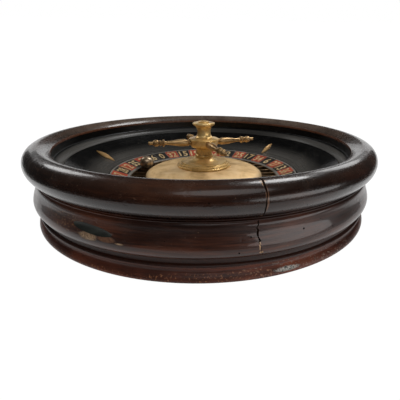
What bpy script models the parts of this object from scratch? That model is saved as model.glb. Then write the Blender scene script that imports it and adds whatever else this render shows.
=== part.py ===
"""A table roulette wheel: a moulded mahogany bowl, a wheelhead with a brass turret on a spindle, and a ball.

Lengths are in metres and angles in degrees. The origin lies on the wheel's axis at table height, with +Z up.
"""

import math

import bmesh
import bpy
from mathutils import Matrix, Vector

# Clearances
SEAT_GAP = 0.0003
FIT_GAP = 0.0003
HEAD_RUNNING_GAP = 0.0018
CUT_OVERRUN = 0.002
WELD_DISTANCE = 0.000001

# Facets round the turned pieces
BOWL_FACETS = 36
HEAD_FACETS = 36
TURRET_FACETS = 20
ARM_FACETS = 8
SHAFT_FACETS = 14
SCREW_FACETS = 6
SMOOTH_ANGLE = 32

# Rim ring: an elliptical roll over the bowl's edge, lower on its inner side, undercut to hold the ball track
RIM_RADIUS = 0.250
RIM_ROLL_HALF_WIDTH = 0.0194
RIM_ROLL_HALF_DEPTH = 0.0184
RIM_INNER_DROP = 0.0030
RIM_NECK_ANGLE = -72
RIM_BORE_ANGLE = 139
RIM_ROLL_POINTS = 12
RIM_LIP_WIDTH = 0.006
RIM_LIP_DEPTH = 0.0030

# Belly ring: the bulging middle moulding
BELLY_PROUD = 0.0084
BELLY_HEIGHT = 0.0421
BELLY_MOULDING_SHARES = (
    (0.00, 0.000),
    (0.27, 0.014),
    (0.67, 0.078),
    (0.93, 0.169),
    (1.00, 0.273),
    (0.89, 0.378),
    (0.68, 0.496),
    (0.48, 0.615),
    (0.36, 0.722),
    (0.30, 0.796),
    (0.21, 0.850),
    (0.05, 0.900),
    (0.24, 0.916),
    (0.24, 0.945),
    (0.05, 0.960),
    (0.15, 0.975),
    (0.15, 1.000),
)

# Base ring: a bead over a flared foot
FOOT_PROUD = 0.0066
BASE_HEIGHT = 0.0238
BASE_MOULDING_SHARES = (
    (0.92, 0.00),
    (1.00, 0.04),
    (0.92, 0.13),
    (0.61, 0.25),
    (0.24, 0.33),
    (0.08, 0.40),
    (0.08, 0.54),
    (0.44, 0.59),
    (0.58, 0.67),
    (0.44, 0.75),
    (0.08, 0.80),
    (0.00, 1.00),
)

# Bottom board
BOARD_RECESS = 0.006
BOARD_THICKNESS = 0.009
BOARD_REBATE = 0.004

# Ball track: an upright wall over a ledge that rolls down to the apron
TRACK_SETBACK = 0.0006
TRACK_SEAT_WIDTH = 0.0187
TRACK_LEDGE_FALL = 0.0071
TRACK_LEDGE_SHARES = (
    (0.00, 1.260),
    (0.05, 1.110),
    (0.14, 1.020),
    (0.28, 0.985),
    (0.46, 0.900),
    (0.64, 0.730),
    (0.80, 0.480),
    (0.92, 0.200),
    (1.00, 0.000),
)

# Apron: the concave slope that the ball rolls down
APRON_SHOULDER_HEIGHT = 0.0465
APRON_LIP_RISE = 0.0094
APRON_FALL = 0.0249
APRON_CURVE_POWER = 1.4
APRON_CURVE_POINTS = 7

# Deflectors: lozenges along the slope
DEFLECTOR_LENGTH_SHARE = 0.68
DEFLECTOR_WIDTH = 0.0098
DEFLECTOR_HEIGHT = 0.0046
DEFLECTOR_ROOT = 0.006
DEFLECTOR_ANGLES = (43.5, 164.0, 284.0)
DEFLECTOR_ACROSS_SHARES = (0.38, 0.50, 0.44)
DEFLECTOR_OUTLINE_SHARES = (
    (0.50, 0.00),
    (0.24, 0.40),
    (0.00, 0.50),
    (-0.24, 0.40),
    (-0.50, 0.00),
    (-0.24, -0.40),
    (0.00, -0.50),
    (0.24, -0.40),
)
DEFLECTOR_EDGE_SHARE = 0.35
DEFLECTOR_RIDGE_SHARE = 0.52

# Wheelhead: a flat board and the sloped bed of the number ring
HEAD_RIM_SHARE = 0.5848
HEAD_LIFT = 0.006
DISC_THICKNESS = 0.007
RING_WIDTH = 0.0284
RING_FALL = 0.0090
RING_THICKNESS = 0.002
RING_BED_DEPTH = 0.0067

# Pocket pan, and the fret ring's hoop and blades
POCKET_COUNT = 37
POCKET_WIDTH = 0.0250
POCKET_PAN_THICKNESS = 0.0015
HOOP_THICKNESS = 0.001
POCKET_PAN_INSET = 0.0068
HOOP_DROP = 0.0003
FRET_THICKNESS = 0.0012
FRET_CREST_SHARE = 0.45
FIRST_CELL_ANGLE = 127.3

# Cone: a brass dome with a flat crown
CONE_WALL = 0.0016
CONE_SKIRT = 0.0092
CONE_RISE = 0.0142
CONE_CROWN_RADIUS = 0.0440
CONE_BORE_RADIUS = 0.0130
CONE_DOME_SHARES = (
    (0.98, 0.14),
    (0.92, 0.32),
    (0.82, 0.50),
    (0.66, 0.67),
    (0.40, 0.86),
)

# Turret base: two steps, an ogee and a bead
BASE_FLANGE_RADIUS = 0.0423
BASE_FLANGE_THICKNESS = 0.0024
MIDDLE_STEP_RADIUS = 0.0395
MIDDLE_STEP_RISE = 0.0026
TOP_STEP_RADIUS = 0.0359
TOP_STEP_RISE = 0.0022
STEP_ROUND = 0.0007
OGEE_RISE = 0.0058
OGEE_SHARES = (
    (0.70, 0.05),
    (0.32, 0.28),
    (0.10, 0.72),
)
BEAD_RADIUS = 0.0142
BEAD_HEIGHT = 0.0048
BEAD_NECK_RADIUS = 0.0126

# Turret stem
STEM_RADIUS = 0.0129
STEM_HEIGHT = 0.0107
STEM_RING_PROUD = 0.0006
STEM_RING_HEIGHT = 0.0012

# Turret hub: the drum that the arms plug into
HUB_RADIUS = 0.0224
HUB_HEIGHT = 0.0136
HUB_LID_PROUD = 0.0007
HUB_DOME_RISE = 0.0010
HUB_DOME_RADIUS = 0.0140
HUB_DRUM_SHARES = (
    (0.78, 0.00),
    (0.90, 0.07),
    (0.97, 0.26),
    (1.00, 0.78),
)
SOCKET_DEPTH = 0.0115
COUNTERBORE_RADIUS = 0.0050
COUNTERBORE_DEPTH = 0.0028

# Turret spool and cap
SPOOL_FOOT_RADIUS = 0.0136
SPOOL_WAIST_RADIUS = 0.0102
SPOOL_HEAD_RADIUS = 0.0144
SPOOL_HEIGHT = 0.0185
SPOOL_LOWER_SHARES = (
    (0.50, 0.08),
    (0.16, 0.22),
    (0.00, 0.42),
)
SPOOL_UPPER_SHARES = (
    (0.06, 0.66),
    (0.34, 0.84),
    (0.78, 0.96),
)
CAP_RADIUS = 0.0170
CAP_HEIGHT = 0.0038
CAP_EDGE_SHARES = (
    (0.86, 0.02),
    (0.97, 0.28),
    (1.00, 0.58),
    (0.95, 0.84),
    (0.84, 1.00),
)
BOSS_RADIUS = 0.0082
BOSS_HEIGHT = 0.0020
BOSS_DISH_RADIUS = 0.0050
BOSS_DISH_DEPTH = 0.0012

# Turned arms
ARM_COUNT = 4
ARM_FIRST_ANGLE = 20
ARM_TILTS = (0, -3.2, 3.0, 0)
ARM_HEIGHT_SHARE = 0.50
ARM_REACH = 0.0870
ARM_STANDOFF = 0.0012
ARM_RADIUS = 0.0055
ARM_TENON_RADIUS = 0.0032
ARM_TURNING_SHARES = (
    (0.000, 0.62),
    (0.020, 0.90),
    (0.140, 1.00),
    (0.310, 0.97),
    (0.480, 0.60),
    (0.600, 0.50),
    (0.635, 0.95),
    (0.665, 0.95),
    (0.690, 0.50),
    (0.725, 0.82),
    (0.755, 0.52),
    (0.810, 0.90),
    (0.870, 0.84),
    (0.895, 0.44),
    (0.985, 0.42),
    (1.000, 0.24),
)

# Turret rod, bearing bush and thrust ball
ROD_RADIUS = 0.003
ROD_GRIP = 0.0034
ROD_SHORTFALL = 0.0006
BUSH_RADIUS = 0.011
BUSH_FLANGE_RADIUS = 0.026
BUSH_FLANGE_THICKNESS = 0.003
BUSH_WEB = 0.003
THRUST_BALL_RADIUS = 0.004
THRUST_BALL_RINGS = 6

# Spindle, its flange and its nut
SPINDLE_RADIUS = 0.006
SPINDLE_COLLAR_RADIUS = 0.0095
SPINDLE_COLLAR_THICKNESS = 0.0015
SPINDLE_CHAMFER = 0.0008
SPINDLE_TAIL = 0.0006
SPINDLE_FLANGE_RADIUS = 0.030
SPINDLE_FLANGE_THICKNESS = 0.0025
NUT_THICKNESS = 0.004
NUT_RADIUS = 0.0115
NUT_SIDES = 6

# Countersunk screws
SCREW_SHANK_RADIUS = 0.0016
SCREW_HEAD_RADIUS = 0.0032
SCREW_HEAD_DEPTH = 0.0018
SCREW_TIP_SHARE = 0.45
BOARD_SCREW_LENGTH = 0.020
BOARD_SCREW_COUNT = 6
BOARD_SCREW_ACROSS_SHARE = 0.55
FLANGE_SCREW_LENGTH = 0.0085
FLANGE_SCREW_COUNT = 3
BUSH_SCREW_LENGTH = 0.0080
BUSH_SCREW_COUNT = 3
FIRST_SCREW_ANGLE = 13

# Ball
BALL_RADIUS = 0.0118
BALL_CELLS_FROM_FIRST = 3
BALL_SEGMENTS = 16
BALL_RINGS = 10

# Radii that follow from the sizes above
ROLL_CENTRE_RADIUS = RIM_RADIUS - RIM_ROLL_HALF_WIDTH
NECK_RADIUS = ROLL_CENTRE_RADIUS + RIM_ROLL_HALF_WIDTH * math.cos(math.radians(RIM_NECK_ANGLE))
RIM_BORE_RADIUS = ROLL_CENTRE_RADIUS + RIM_ROLL_HALF_WIDTH * math.cos(math.radians(RIM_BORE_ANGLE))
CORE_RADIUS = RIM_BORE_RADIUS + RIM_LIP_WIDTH
LINER_RADIUS = CORE_RADIUS - FIT_GAP
SHOULDER_RADIUS = CORE_RADIUS - TRACK_SEAT_WIDTH
HEAD_RADIUS = RIM_RADIUS * HEAD_RIM_SHARE
APRON_INNER_RADIUS = HEAD_RADIUS + HEAD_RUNNING_GAP
APRON_WIDTH = SHOULDER_RADIUS - APRON_INNER_RADIUS
DEFLECTOR_LENGTH = APRON_WIDTH * DEFLECTOR_LENGTH_SHARE
RING_INNER_RADIUS = HEAD_RADIUS - RING_WIDTH
CONE_RADIUS = RING_INNER_RADIUS - POCKET_WIDTH
ROD_BORE_RADIUS = ROD_RADIUS + FIT_GAP
SPINDLE_BORE_RADIUS = SPINDLE_RADIUS + FIT_GAP
SOCKET_RADIUS = ARM_TENON_RADIUS + FIT_GAP

# Heights of the bowl, from the table up
BOARD_TOP = BOARD_RECESS + BOARD_THICKNESS
APRON_BOTTOM = BOARD_TOP + SEAT_GAP
SHOULDER_TOP = APRON_BOTTOM + APRON_SHOULDER_HEIGHT
APRON_OUTER_TOP = SHOULDER_TOP + APRON_LIP_RISE
APRON_INNER_TOP = APRON_OUTER_TOP - APRON_FALL
BELLY_BOTTOM = BASE_HEIGHT + SEAT_GAP
BELLY_TOP = BELLY_BOTTOM + BELLY_HEIGHT
RIM_BOTTOM = BELLY_TOP + SEAT_GAP
ROLL_CENTRE = RIM_BOTTOM - RIM_ROLL_HALF_DEPTH * math.sin(math.radians(RIM_NECK_ANGLE))
RIM_LIP_TOP = (
    ROLL_CENTRE
    + RIM_ROLL_HALF_DEPTH * math.sin(math.radians(RIM_BORE_ANGLE))
    + RIM_INNER_DROP * math.cos(math.radians(RIM_BORE_ANGLE))
)
RIM_LIP_BOTTOM = RIM_LIP_TOP - RIM_LIP_DEPTH
TRACK_BOTTOM = SHOULDER_TOP + SEAT_GAP
TRACK_TOP = RIM_LIP_BOTTOM - SEAT_GAP

# Heights of the wheelhead
DISC_BOTTOM = BOARD_TOP + HEAD_LIFT
DISC_TOP = DISC_BOTTOM + DISC_THICKNESS
BED_BOTTOM = DISC_TOP + SEAT_GAP
BED_INNER_TOP = BED_BOTTOM + RING_BED_DEPTH
RING_INNER_BOTTOM = BED_INNER_TOP + SEAT_GAP
RING_INNER_TOP = RING_INNER_BOTTOM + RING_THICKNESS
PAN_BOTTOM = DISC_TOP + SEAT_GAP
PAN_TOP = PAN_BOTTOM + POCKET_PAN_THICKNESS
FRET_BOTTOM = PAN_TOP + SEAT_GAP
FRET_TOP = RING_INNER_TOP - HOOP_DROP
FRET_HEIGHT = FRET_TOP - FRET_BOTTOM
HOOP_OUTER_RADIUS = RING_INNER_RADIUS - FIT_GAP
HOOP_INNER_RADIUS = HOOP_OUTER_RADIUS - HOOP_THICKNESS
CONE_BOTTOM = PAN_TOP + SEAT_GAP
CONE_SHOULDER = CONE_BOTTOM + CONE_SKIRT
CONE_TOP = CONE_SHOULDER + CONE_RISE
TURRET_BOTTOM = CONE_TOP + SEAT_GAP
BASE_FLANGE_TOP = TURRET_BOTTOM + BASE_FLANGE_THICKNESS
MIDDLE_STEP_TOP = BASE_FLANGE_TOP + MIDDLE_STEP_RISE
TOP_STEP_TOP = MIDDLE_STEP_TOP + TOP_STEP_RISE
BEAD_BOTTOM = TOP_STEP_TOP + OGEE_RISE
BEAD_TOP = BEAD_BOTTOM + BEAD_HEIGHT
STEM_BOTTOM = BEAD_TOP + SEAT_GAP
STEM_TOP = STEM_BOTTOM + STEM_HEIGHT
HUB_BOTTOM = STEM_TOP + SEAT_GAP
HUB_TOP = HUB_BOTTOM + HUB_HEIGHT
HUB_CROWN = HUB_TOP + HUB_DOME_RISE
SPOOL_BOTTOM = HUB_CROWN + SEAT_GAP
SPOOL_TOP = SPOOL_BOTTOM + SPOOL_HEIGHT
CAP_BOTTOM = SPOOL_TOP + SEAT_GAP
CAP_TOP = CAP_BOTTOM + CAP_HEIGHT
BOSS_TOP = CAP_TOP + BOSS_HEIGHT
DISH_BOTTOM = BOSS_TOP - BOSS_DISH_DEPTH
ARM_AXIS = HUB_BOTTOM + ARM_HEIGHT_SHARE * HUB_HEIGHT

# Heights of the bearing
BUSH_FLANGE_BOTTOM = DISC_TOP + SEAT_GAP
BUSH_FLANGE_TOP = BUSH_FLANGE_BOTTOM + BUSH_FLANGE_THICKNESS
BUSH_TOP = CONE_TOP - CONE_WALL - SEAT_GAP
ROD_BORE_BOTTOM = BUSH_TOP - ROD_GRIP - SEAT_GAP
BUSH_BORE_TOP = ROD_BORE_BOTTOM - BUSH_WEB
THRUST_BALL_CENTRE = BUSH_BORE_TOP - SEAT_GAP - THRUST_BALL_RADIUS
SPINDLE_TOP = THRUST_BALL_CENTRE - THRUST_BALL_RADIUS - SEAT_GAP
SPINDLE_FLANGE_BOTTOM = BOARD_TOP + SEAT_GAP
SPINDLE_FLANGE_TOP = SPINDLE_FLANGE_BOTTOM + SPINDLE_FLANGE_THICKNESS
COLLAR_BOTTOM = SPINDLE_FLANGE_TOP + SEAT_GAP
COLLAR_TOP = COLLAR_BOTTOM + SPINDLE_COLLAR_THICKNESS
NUT_TOP = BOARD_RECESS - SEAT_GAP
NUT_BOTTOM = NUT_TOP - NUT_THICKNESS
SPINDLE_BOTTOM = NUT_BOTTOM - SPINDLE_TAIL


def clear_scene():
    for old in list(bpy.data.objects):
        bpy.data.objects.remove(old)


def finish(name, colour, roughness, metallic):
    """A material of one colour, given as red, green and blue."""
    material = bpy.data.materials.new(name)
    material.use_nodes = True
    shader = material.node_tree.nodes["Principled BSDF"]
    shader.inputs["Base Color"].default_value = (*colour, 1)
    shader.inputs["Roughness"].default_value = roughness
    shader.inputs["Metallic"].default_value = metallic
    return material


def make_finishes():
    return {
        "mahogany": finish("mahogany", (0.075, 0.022, 0.012), 0.28, 0),
        "black": finish("black", (0.012, 0.011, 0.011), 0.35, 0),
        "pale_wood": finish("pale_wood", (0.32, 0.19, 0.09), 0.6, 0),
        "numbers": finish("numbers", (0.42, 0.06, 0.03), 0.5, 0),
        "gilt": finish("gilt", (0.55, 0.35, 0.14), 0.4, 1),
        "brass": finish("brass", (0.60, 0.42, 0.16), 0.32, 1),
        "dark_brass": finish("dark_brass", (0.06, 0.045, 0.03), 0.5, 1),
        "steel": finish("steel", (0.35, 0.34, 0.33), 0.35, 1),
        "bronze": finish("bronze", (0.30, 0.18, 0.09), 0.28, 1),
    }


def between(low, high, shares):
    """Points whose shares say how far across and how far up they lie from one corner to the other."""
    return [
        (low[0] + across * (high[0] - low[0]), low[1] + up * (high[1] - low[1]))
        for across, up in shares
    ]


def inscribed(radius, facets):
    """The distance from the axis to the middle of a facet of a turned piece."""
    return radius * math.cos(math.pi / facets)


def turned(section, facets):
    """A solid turned about Z from the outline of its section, in points of radius and height."""
    shape = bmesh.new()
    points = [shape.verts.new((radius, 0, height)) for radius, height in section]
    pairs = list(zip(points, points[1:]))
    if section[0][0] > 0:
        pairs.append((points[-1], points[0]))
    edges = [shape.edges.new(pair) for pair in pairs]
    bmesh.ops.spin(
        shape,
        geom=points + edges,
        cent=(0, 0, 0),
        axis=(0, 0, 1),
        angle=math.tau,
        steps=facets,
        use_merge=True,
    )
    bmesh.ops.remove_doubles(shape, verts=shape.verts, dist=WELD_DISTANCE)
    bmesh.ops.recalc_face_normals(shape, faces=shape.faces)
    return shape


def round_ball(radius, centre, segments, rings):
    """A ball turned from a half circle, from its top down."""
    angles = [math.pi * (step / rings - 1 / 2) for step in range(rings + 1)]
    section = [(radius * math.cos(angle), centre + radius * math.sin(angle)) for angle in angles]
    section[0] = (0, centre - radius)
    section[-1] = (0, centre + radius)
    return turned(section, segments)


def copies(shape, places):
    """One mesh that holds the shape at each of the given matrices."""
    single = bpy.data.meshes.new("single")
    shape.to_mesh(single)
    shape.free()
    group = bmesh.new()
    for place in places:
        before = len(group.verts)
        group.from_mesh(single)
        group.verts.ensure_lookup_table()
        bmesh.ops.transform(group, matrix=place, verts=group.verts[before:])
    bpy.data.meshes.remove(single)
    return group


def piece(name, shape, material, parent=None, place=Matrix.Identity(4)):
    """An object made from a shape, shaded smooth except at its edges, and moved to its place."""
    mesh = bpy.data.meshes.new(name)
    shape.to_mesh(mesh)
    shape.free()
    mesh.materials.append(material)
    mesh.shade_smooth()
    mesh.set_sharp_from_angle(angle=math.radians(SMOOTH_ANGLE))
    made = bpy.data.objects.new(name, mesh)
    bpy.context.scene.collection.objects.link(made)
    made.parent = parent
    made.matrix_basis = place
    return made


def combine(target, shape, name, operation="DIFFERENCE"):
    """Cuts a shape out of a piece, or joins it on, and keeps the shape as a hidden guide."""
    guide = piece(name, shape, target.data.materials[0], target.parent)
    guide.hide_render = True
    guide.display_type = "WIRE"
    modifier = target.modifiers.new(name, "BOOLEAN")
    modifier.operation = operation
    modifier.solver = "EXACT"
    modifier.object = guide


def ring_places(count, radius, height, first_angle, flip=False):
    """Matrices of pieces spaced evenly round the axis, turned upside down if asked."""
    places = []
    for number in range(count):
        turn = Matrix.Rotation(math.radians(first_angle) + math.tau * number / count, 4, "Z")
        place = turn @ Matrix.Translation((radius, 0, height))
        if flip:
            place = place @ Matrix.Rotation(math.pi, 4, "X")
        places.append(place)
    return places


def screw_section(length, grown, overrun):
    """A countersunk screw pointing down from height zero. Grown by a clearance, it is the screw's hole."""
    head = SCREW_HEAD_RADIUS + grown
    shank = SCREW_SHANK_RADIUS + grown
    tip = length + grown
    section = [
        (0, overrun),
        (head, overrun),
        (head, 0),
        (shank, -SCREW_HEAD_DEPTH),
        (shank, SCREW_HEAD_DEPTH - tip),
        (shank * SCREW_TIP_SHARE, -tip),
        (0, -tip),
    ]
    if overrun == 0:
        del section[2]
    return section


def make_screws(name, length, places, material, parent=None):
    for number, place in enumerate(places):
        shape = turned(screw_section(length, 0, 0), SCREW_FACETS)
        piece(f"{name}_{number + 1}", shape, material, parent, place)


def screw_holes(length, places):
    return copies(turned(screw_section(length, FIT_GAP, CUT_OVERRUN), SCREW_FACETS), places)


def shaft_bore(radius, low, high):
    return turned([(0, low), (radius, low), (radius, high), (0, high)], SHAFT_FACETS)


def apron_height(radius):
    """Height of the apron's concave surface at a distance from the axis."""
    across = (radius - APRON_INNER_RADIUS) / APRON_WIDTH
    return APRON_INNER_TOP + APRON_FALL * max(across, 0) ** APRON_CURVE_POWER


def apron_curve(lift):
    """The apron's surface from its inner edge outwards, raised by a distance."""
    radii = [
        APRON_INNER_RADIUS + APRON_WIDTH * step / (APRON_CURVE_POINTS - 1)
        for step in range(APRON_CURVE_POINTS)
    ]
    return [(radius, apron_height(radius) + lift) for radius in radii]


def make_rim_ring(finishes):
    first = math.radians(RIM_NECK_ANGLE)
    span = math.radians(RIM_BORE_ANGLE) - first
    section = []
    for step in range(RIM_ROLL_POINTS):
        angle = first + span * step / (RIM_ROLL_POINTS - 1)
        drop = RIM_INNER_DROP * max(-math.cos(angle), 0)
        section.append(
            (
                ROLL_CENTRE_RADIUS + RIM_ROLL_HALF_WIDTH * math.cos(angle),
                ROLL_CENTRE + RIM_ROLL_HALF_DEPTH * math.sin(angle) - drop,
            )
        )
    section.append((RIM_BORE_RADIUS, RIM_LIP_BOTTOM))
    section.append((CORE_RADIUS, RIM_LIP_BOTTOM))
    section.append((CORE_RADIUS, RIM_BOTTOM))
    return piece("rim_ring", turned(section, BOWL_FACETS), finishes["mahogany"])


def make_belly_ring(finishes):
    low = (NECK_RADIUS, BELLY_BOTTOM)
    high = (NECK_RADIUS + BELLY_PROUD, BELLY_TOP)
    section = between(low, high, BELLY_MOULDING_SHARES)
    section.append((CORE_RADIUS, BELLY_TOP))
    section.append((CORE_RADIUS, BELLY_BOTTOM))
    return piece("belly_ring", turned(section, BOWL_FACETS), finishes["mahogany"])


def make_base_ring(finishes):
    low = (NECK_RADIUS, 0)
    high = (NECK_RADIUS + FOOT_PROUD, BASE_HEIGHT)
    section = between(low, high, BASE_MOULDING_SHARES)
    section.append((CORE_RADIUS, BASE_HEIGHT))
    section.append((CORE_RADIUS, BOARD_TOP))
    section.append((CORE_RADIUS + BOARD_REBATE, BOARD_TOP))
    section.append((CORE_RADIUS + BOARD_REBATE, 0))
    return piece("base_ring", turned(section, BOWL_FACETS), finishes["mahogany"])


def make_ball_track(finishes):
    wall = RIM_BORE_RADIUS + TRACK_SETBACK
    low = (wall, APRON_OUTER_TOP + SEAT_GAP)
    high = (SHOULDER_RADIUS + FIT_GAP, low[1] + TRACK_LEDGE_FALL)
    section = [(wall, TRACK_TOP), *between(low, high, TRACK_LEDGE_SHARES)]
    section.append((SHOULDER_RADIUS + FIT_GAP, TRACK_BOTTOM))
    section.append((LINER_RADIUS, TRACK_BOTTOM))
    section.append((LINER_RADIUS, TRACK_TOP))
    return piece("ball_track", turned(section, BOWL_FACETS), finishes["black"])


def board_screw_places():
    radius = APRON_INNER_RADIUS + BOARD_SCREW_ACROSS_SHARE * (LINER_RADIUS - APRON_INNER_RADIUS)
    return ring_places(BOARD_SCREW_COUNT, radius, BOARD_RECESS, FIRST_SCREW_ANGLE, flip=True)


def make_apron(finishes):
    section = apron_curve(0)
    section.append((SHOULDER_RADIUS, SHOULDER_TOP))
    section.append((LINER_RADIUS, SHOULDER_TOP))
    section.append((LINER_RADIUS, APRON_BOTTOM))
    section.append((APRON_INNER_RADIUS, APRON_BOTTOM))
    apron = piece("apron", turned(section, BOWL_FACETS), finishes["black"])
    holes = screw_holes(BOARD_SCREW_LENGTH, board_screw_places())
    combine(apron, holes, "apron_screw_holes")
    return apron


def make_bottom_board(finishes):
    edge = CORE_RADIUS + BOARD_REBATE - FIT_GAP
    section = [
        (SPINDLE_BORE_RADIUS, BOARD_RECESS),
        (edge, BOARD_RECESS),
        (edge, BOARD_TOP - SEAT_GAP),
        (SPINDLE_BORE_RADIUS, BOARD_TOP - SEAT_GAP),
    ]
    board = piece("bottom_board", turned(section, BOWL_FACETS), finishes["pale_wood"])
    outer = screw_holes(BOARD_SCREW_LENGTH, board_screw_places())
    combine(board, outer, "board_screw_holes")
    inner = screw_holes(FLANGE_SCREW_LENGTH, flange_screw_places())
    combine(board, inner, "board_flange_screw_holes")
    return board


def make_deflector(finishes, number):
    """A lozenge with a ridge, let into the slope and cut off along the apron's surface."""
    middle = APRON_INNER_RADIUS + DEFLECTOR_ACROSS_SHARES[number] * APRON_WIDTH
    reach = DEFLECTOR_LENGTH / 2
    low = apron_height(middle - reach)
    high = apron_height(middle + reach)
    slope = math.atan2(high - low, DEFLECTOR_LENGTH)
    shape = bmesh.new()
    levels = (
        (-DEFLECTOR_ROOT, 1),
        (DEFLECTOR_HEIGHT * DEFLECTOR_EDGE_SHARE, 1),
        (DEFLECTOR_HEIGHT, DEFLECTOR_RIDGE_SHARE),
    )
    rings = []
    for height, share in levels:
        rings.append(
            [
                shape.verts.new((DEFLECTOR_LENGTH * along * share, DEFLECTOR_WIDTH * side * share, height))
                for along, side in DEFLECTOR_OUTLINE_SHARES
            ]
        )
    for lower, upper in zip(rings, rings[1:]):
        for corner in range(len(lower)):
            following = (corner + 1) % len(lower)
            shape.faces.new((lower[corner], lower[following], upper[following], upper[corner]))
    shape.faces.new(reversed(rings[0]))
    shape.faces.new(rings[-1])
    bmesh.ops.recalc_face_normals(shape, faces=shape.faces)
    turn = Matrix.Rotation(math.radians(DEFLECTOR_ANGLES[number]), 4, "Z")
    seat = Matrix.Translation((middle, 0, (low + high) / 2))
    tilt = Matrix.Rotation(-slope, 4, "Y")
    name = f"deflector_{number + 1}"
    made = piece(name, shape, finishes["gilt"], place=turn @ seat @ tilt)
    bed = apron_curve(SEAT_GAP)
    bed.append((SHOULDER_RADIUS, APRON_BOTTOM))
    bed.append((APRON_INNER_RADIUS, APRON_BOTTOM))
    combine(made, turned(bed, BOWL_FACETS), f"{name}_bed")
    return made


def flange_screw_places():
    radius = (SPINDLE_COLLAR_RADIUS + SPINDLE_FLANGE_RADIUS) / 2
    return ring_places(FLANGE_SCREW_COUNT, radius, SPINDLE_FLANGE_TOP, FIRST_SCREW_ANGLE)


def make_spindle_flange(finishes):
    section = [
        (SPINDLE_BORE_RADIUS, SPINDLE_FLANGE_BOTTOM),
        (SPINDLE_FLANGE_RADIUS, SPINDLE_FLANGE_BOTTOM),
        (SPINDLE_FLANGE_RADIUS, SPINDLE_FLANGE_TOP),
        (SPINDLE_BORE_RADIUS, SPINDLE_FLANGE_TOP),
    ]
    flange = piece("spindle_flange", turned(section, TURRET_FACETS), finishes["steel"])
    holes = screw_holes(FLANGE_SCREW_LENGTH, flange_screw_places())
    combine(flange, holes, "spindle_flange_screw_holes")
    return flange


def make_spindle(finishes):
    section = [
        (0, SPINDLE_BOTTOM),
        (SPINDLE_RADIUS, SPINDLE_BOTTOM),
        (SPINDLE_RADIUS, COLLAR_BOTTOM),
        (SPINDLE_COLLAR_RADIUS, COLLAR_BOTTOM),
        (SPINDLE_COLLAR_RADIUS, COLLAR_TOP),
        (SPINDLE_RADIUS, COLLAR_TOP),
        (SPINDLE_RADIUS, SPINDLE_TOP - SPINDLE_CHAMFER),
        (SPINDLE_RADIUS - SPINDLE_CHAMFER, SPINDLE_TOP),
        (0, SPINDLE_TOP),
    ]
    return piece("spindle", turned(section, SHAFT_FACETS), finishes["steel"])


def make_spindle_nut(finishes):
    section = [
        (0, NUT_BOTTOM),
        (NUT_RADIUS, NUT_BOTTOM),
        (NUT_RADIUS, NUT_TOP),
        (0, NUT_TOP),
    ]
    nut = piece("spindle_nut", turned(section, NUT_SIDES), finishes["steel"])
    bore = shaft_bore(SPINDLE_BORE_RADIUS, NUT_BOTTOM - CUT_OVERRUN, NUT_TOP + CUT_OVERRUN)
    combine(nut, bore, "spindle_nut_bore")
    return nut


def make_bowl(finishes):
    make_rim_ring(finishes)
    make_belly_ring(finishes)
    make_base_ring(finishes)
    make_ball_track(finishes)
    make_apron(finishes)
    make_bottom_board(finishes)
    make_screws("board_screw", BOARD_SCREW_LENGTH, board_screw_places(), finishes["steel"])
    for number in range(len(DEFLECTOR_ANGLES)):
        make_deflector(finishes, number)
    make_spindle_flange(finishes)
    make_screws("flange_screw", FLANGE_SCREW_LENGTH, flange_screw_places(), finishes["steel"])
    make_spindle(finishes)
    make_spindle_nut(finishes)
    ball = round_ball(THRUST_BALL_RADIUS, THRUST_BALL_CENTRE, SHAFT_FACETS, THRUST_BALL_RINGS)
    piece("thrust_ball", ball, finishes["steel"])


def bush_screw_places():
    radius = (BUSH_RADIUS + BUSH_FLANGE_RADIUS) / 2
    return ring_places(BUSH_SCREW_COUNT, radius, BUSH_FLANGE_TOP, FIRST_SCREW_ANGLE)


def make_wheelhead_disc(finishes, head):
    hole = BUSH_RADIUS + FIT_GAP
    section = [(hole, DISC_BOTTOM), (HEAD_RADIUS, DISC_BOTTOM), (HEAD_RADIUS, DISC_TOP), (hole, DISC_TOP)]
    disc = piece("wheelhead_disc", turned(section, HEAD_FACETS), finishes["pale_wood"], head)
    holes = screw_holes(BUSH_SCREW_LENGTH, bush_screw_places())
    combine(disc, holes, "disc_screw_holes")
    return disc


def make_ring_bed(finishes, head):
    section = [
        (RING_INNER_RADIUS, BED_BOTTOM),
        (HEAD_RADIUS, BED_BOTTOM),
        (HEAD_RADIUS, BED_INNER_TOP + RING_FALL),
        (RING_INNER_RADIUS, BED_INNER_TOP),
    ]
    return piece("ring_bed", turned(section, HEAD_FACETS), finishes["black"], head)


def make_number_ring(finishes, head):
    section = [
        (RING_INNER_RADIUS, RING_INNER_BOTTOM),
        (HEAD_RADIUS, RING_INNER_BOTTOM + RING_FALL),
        (HEAD_RADIUS, RING_INNER_TOP + RING_FALL),
        (RING_INNER_RADIUS, RING_INNER_TOP),
    ]
    return piece("number_ring", turned(section, HEAD_FACETS), finishes["numbers"], head)


def make_pocket_pan(finishes, head):
    """The dark floor of the pockets, inside the fret ring's hoop and under the cone's edge."""
    outer = HOOP_INNER_RADIUS - FIT_GAP
    inner = CONE_RADIUS - POCKET_PAN_INSET
    section = [(inner, PAN_BOTTOM), (outer, PAN_BOTTOM), (outer, PAN_TOP), (inner, PAN_TOP)]
    return piece("pocket_pan", turned(section, HEAD_FACETS), finishes["dark_brass"], head)


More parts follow.
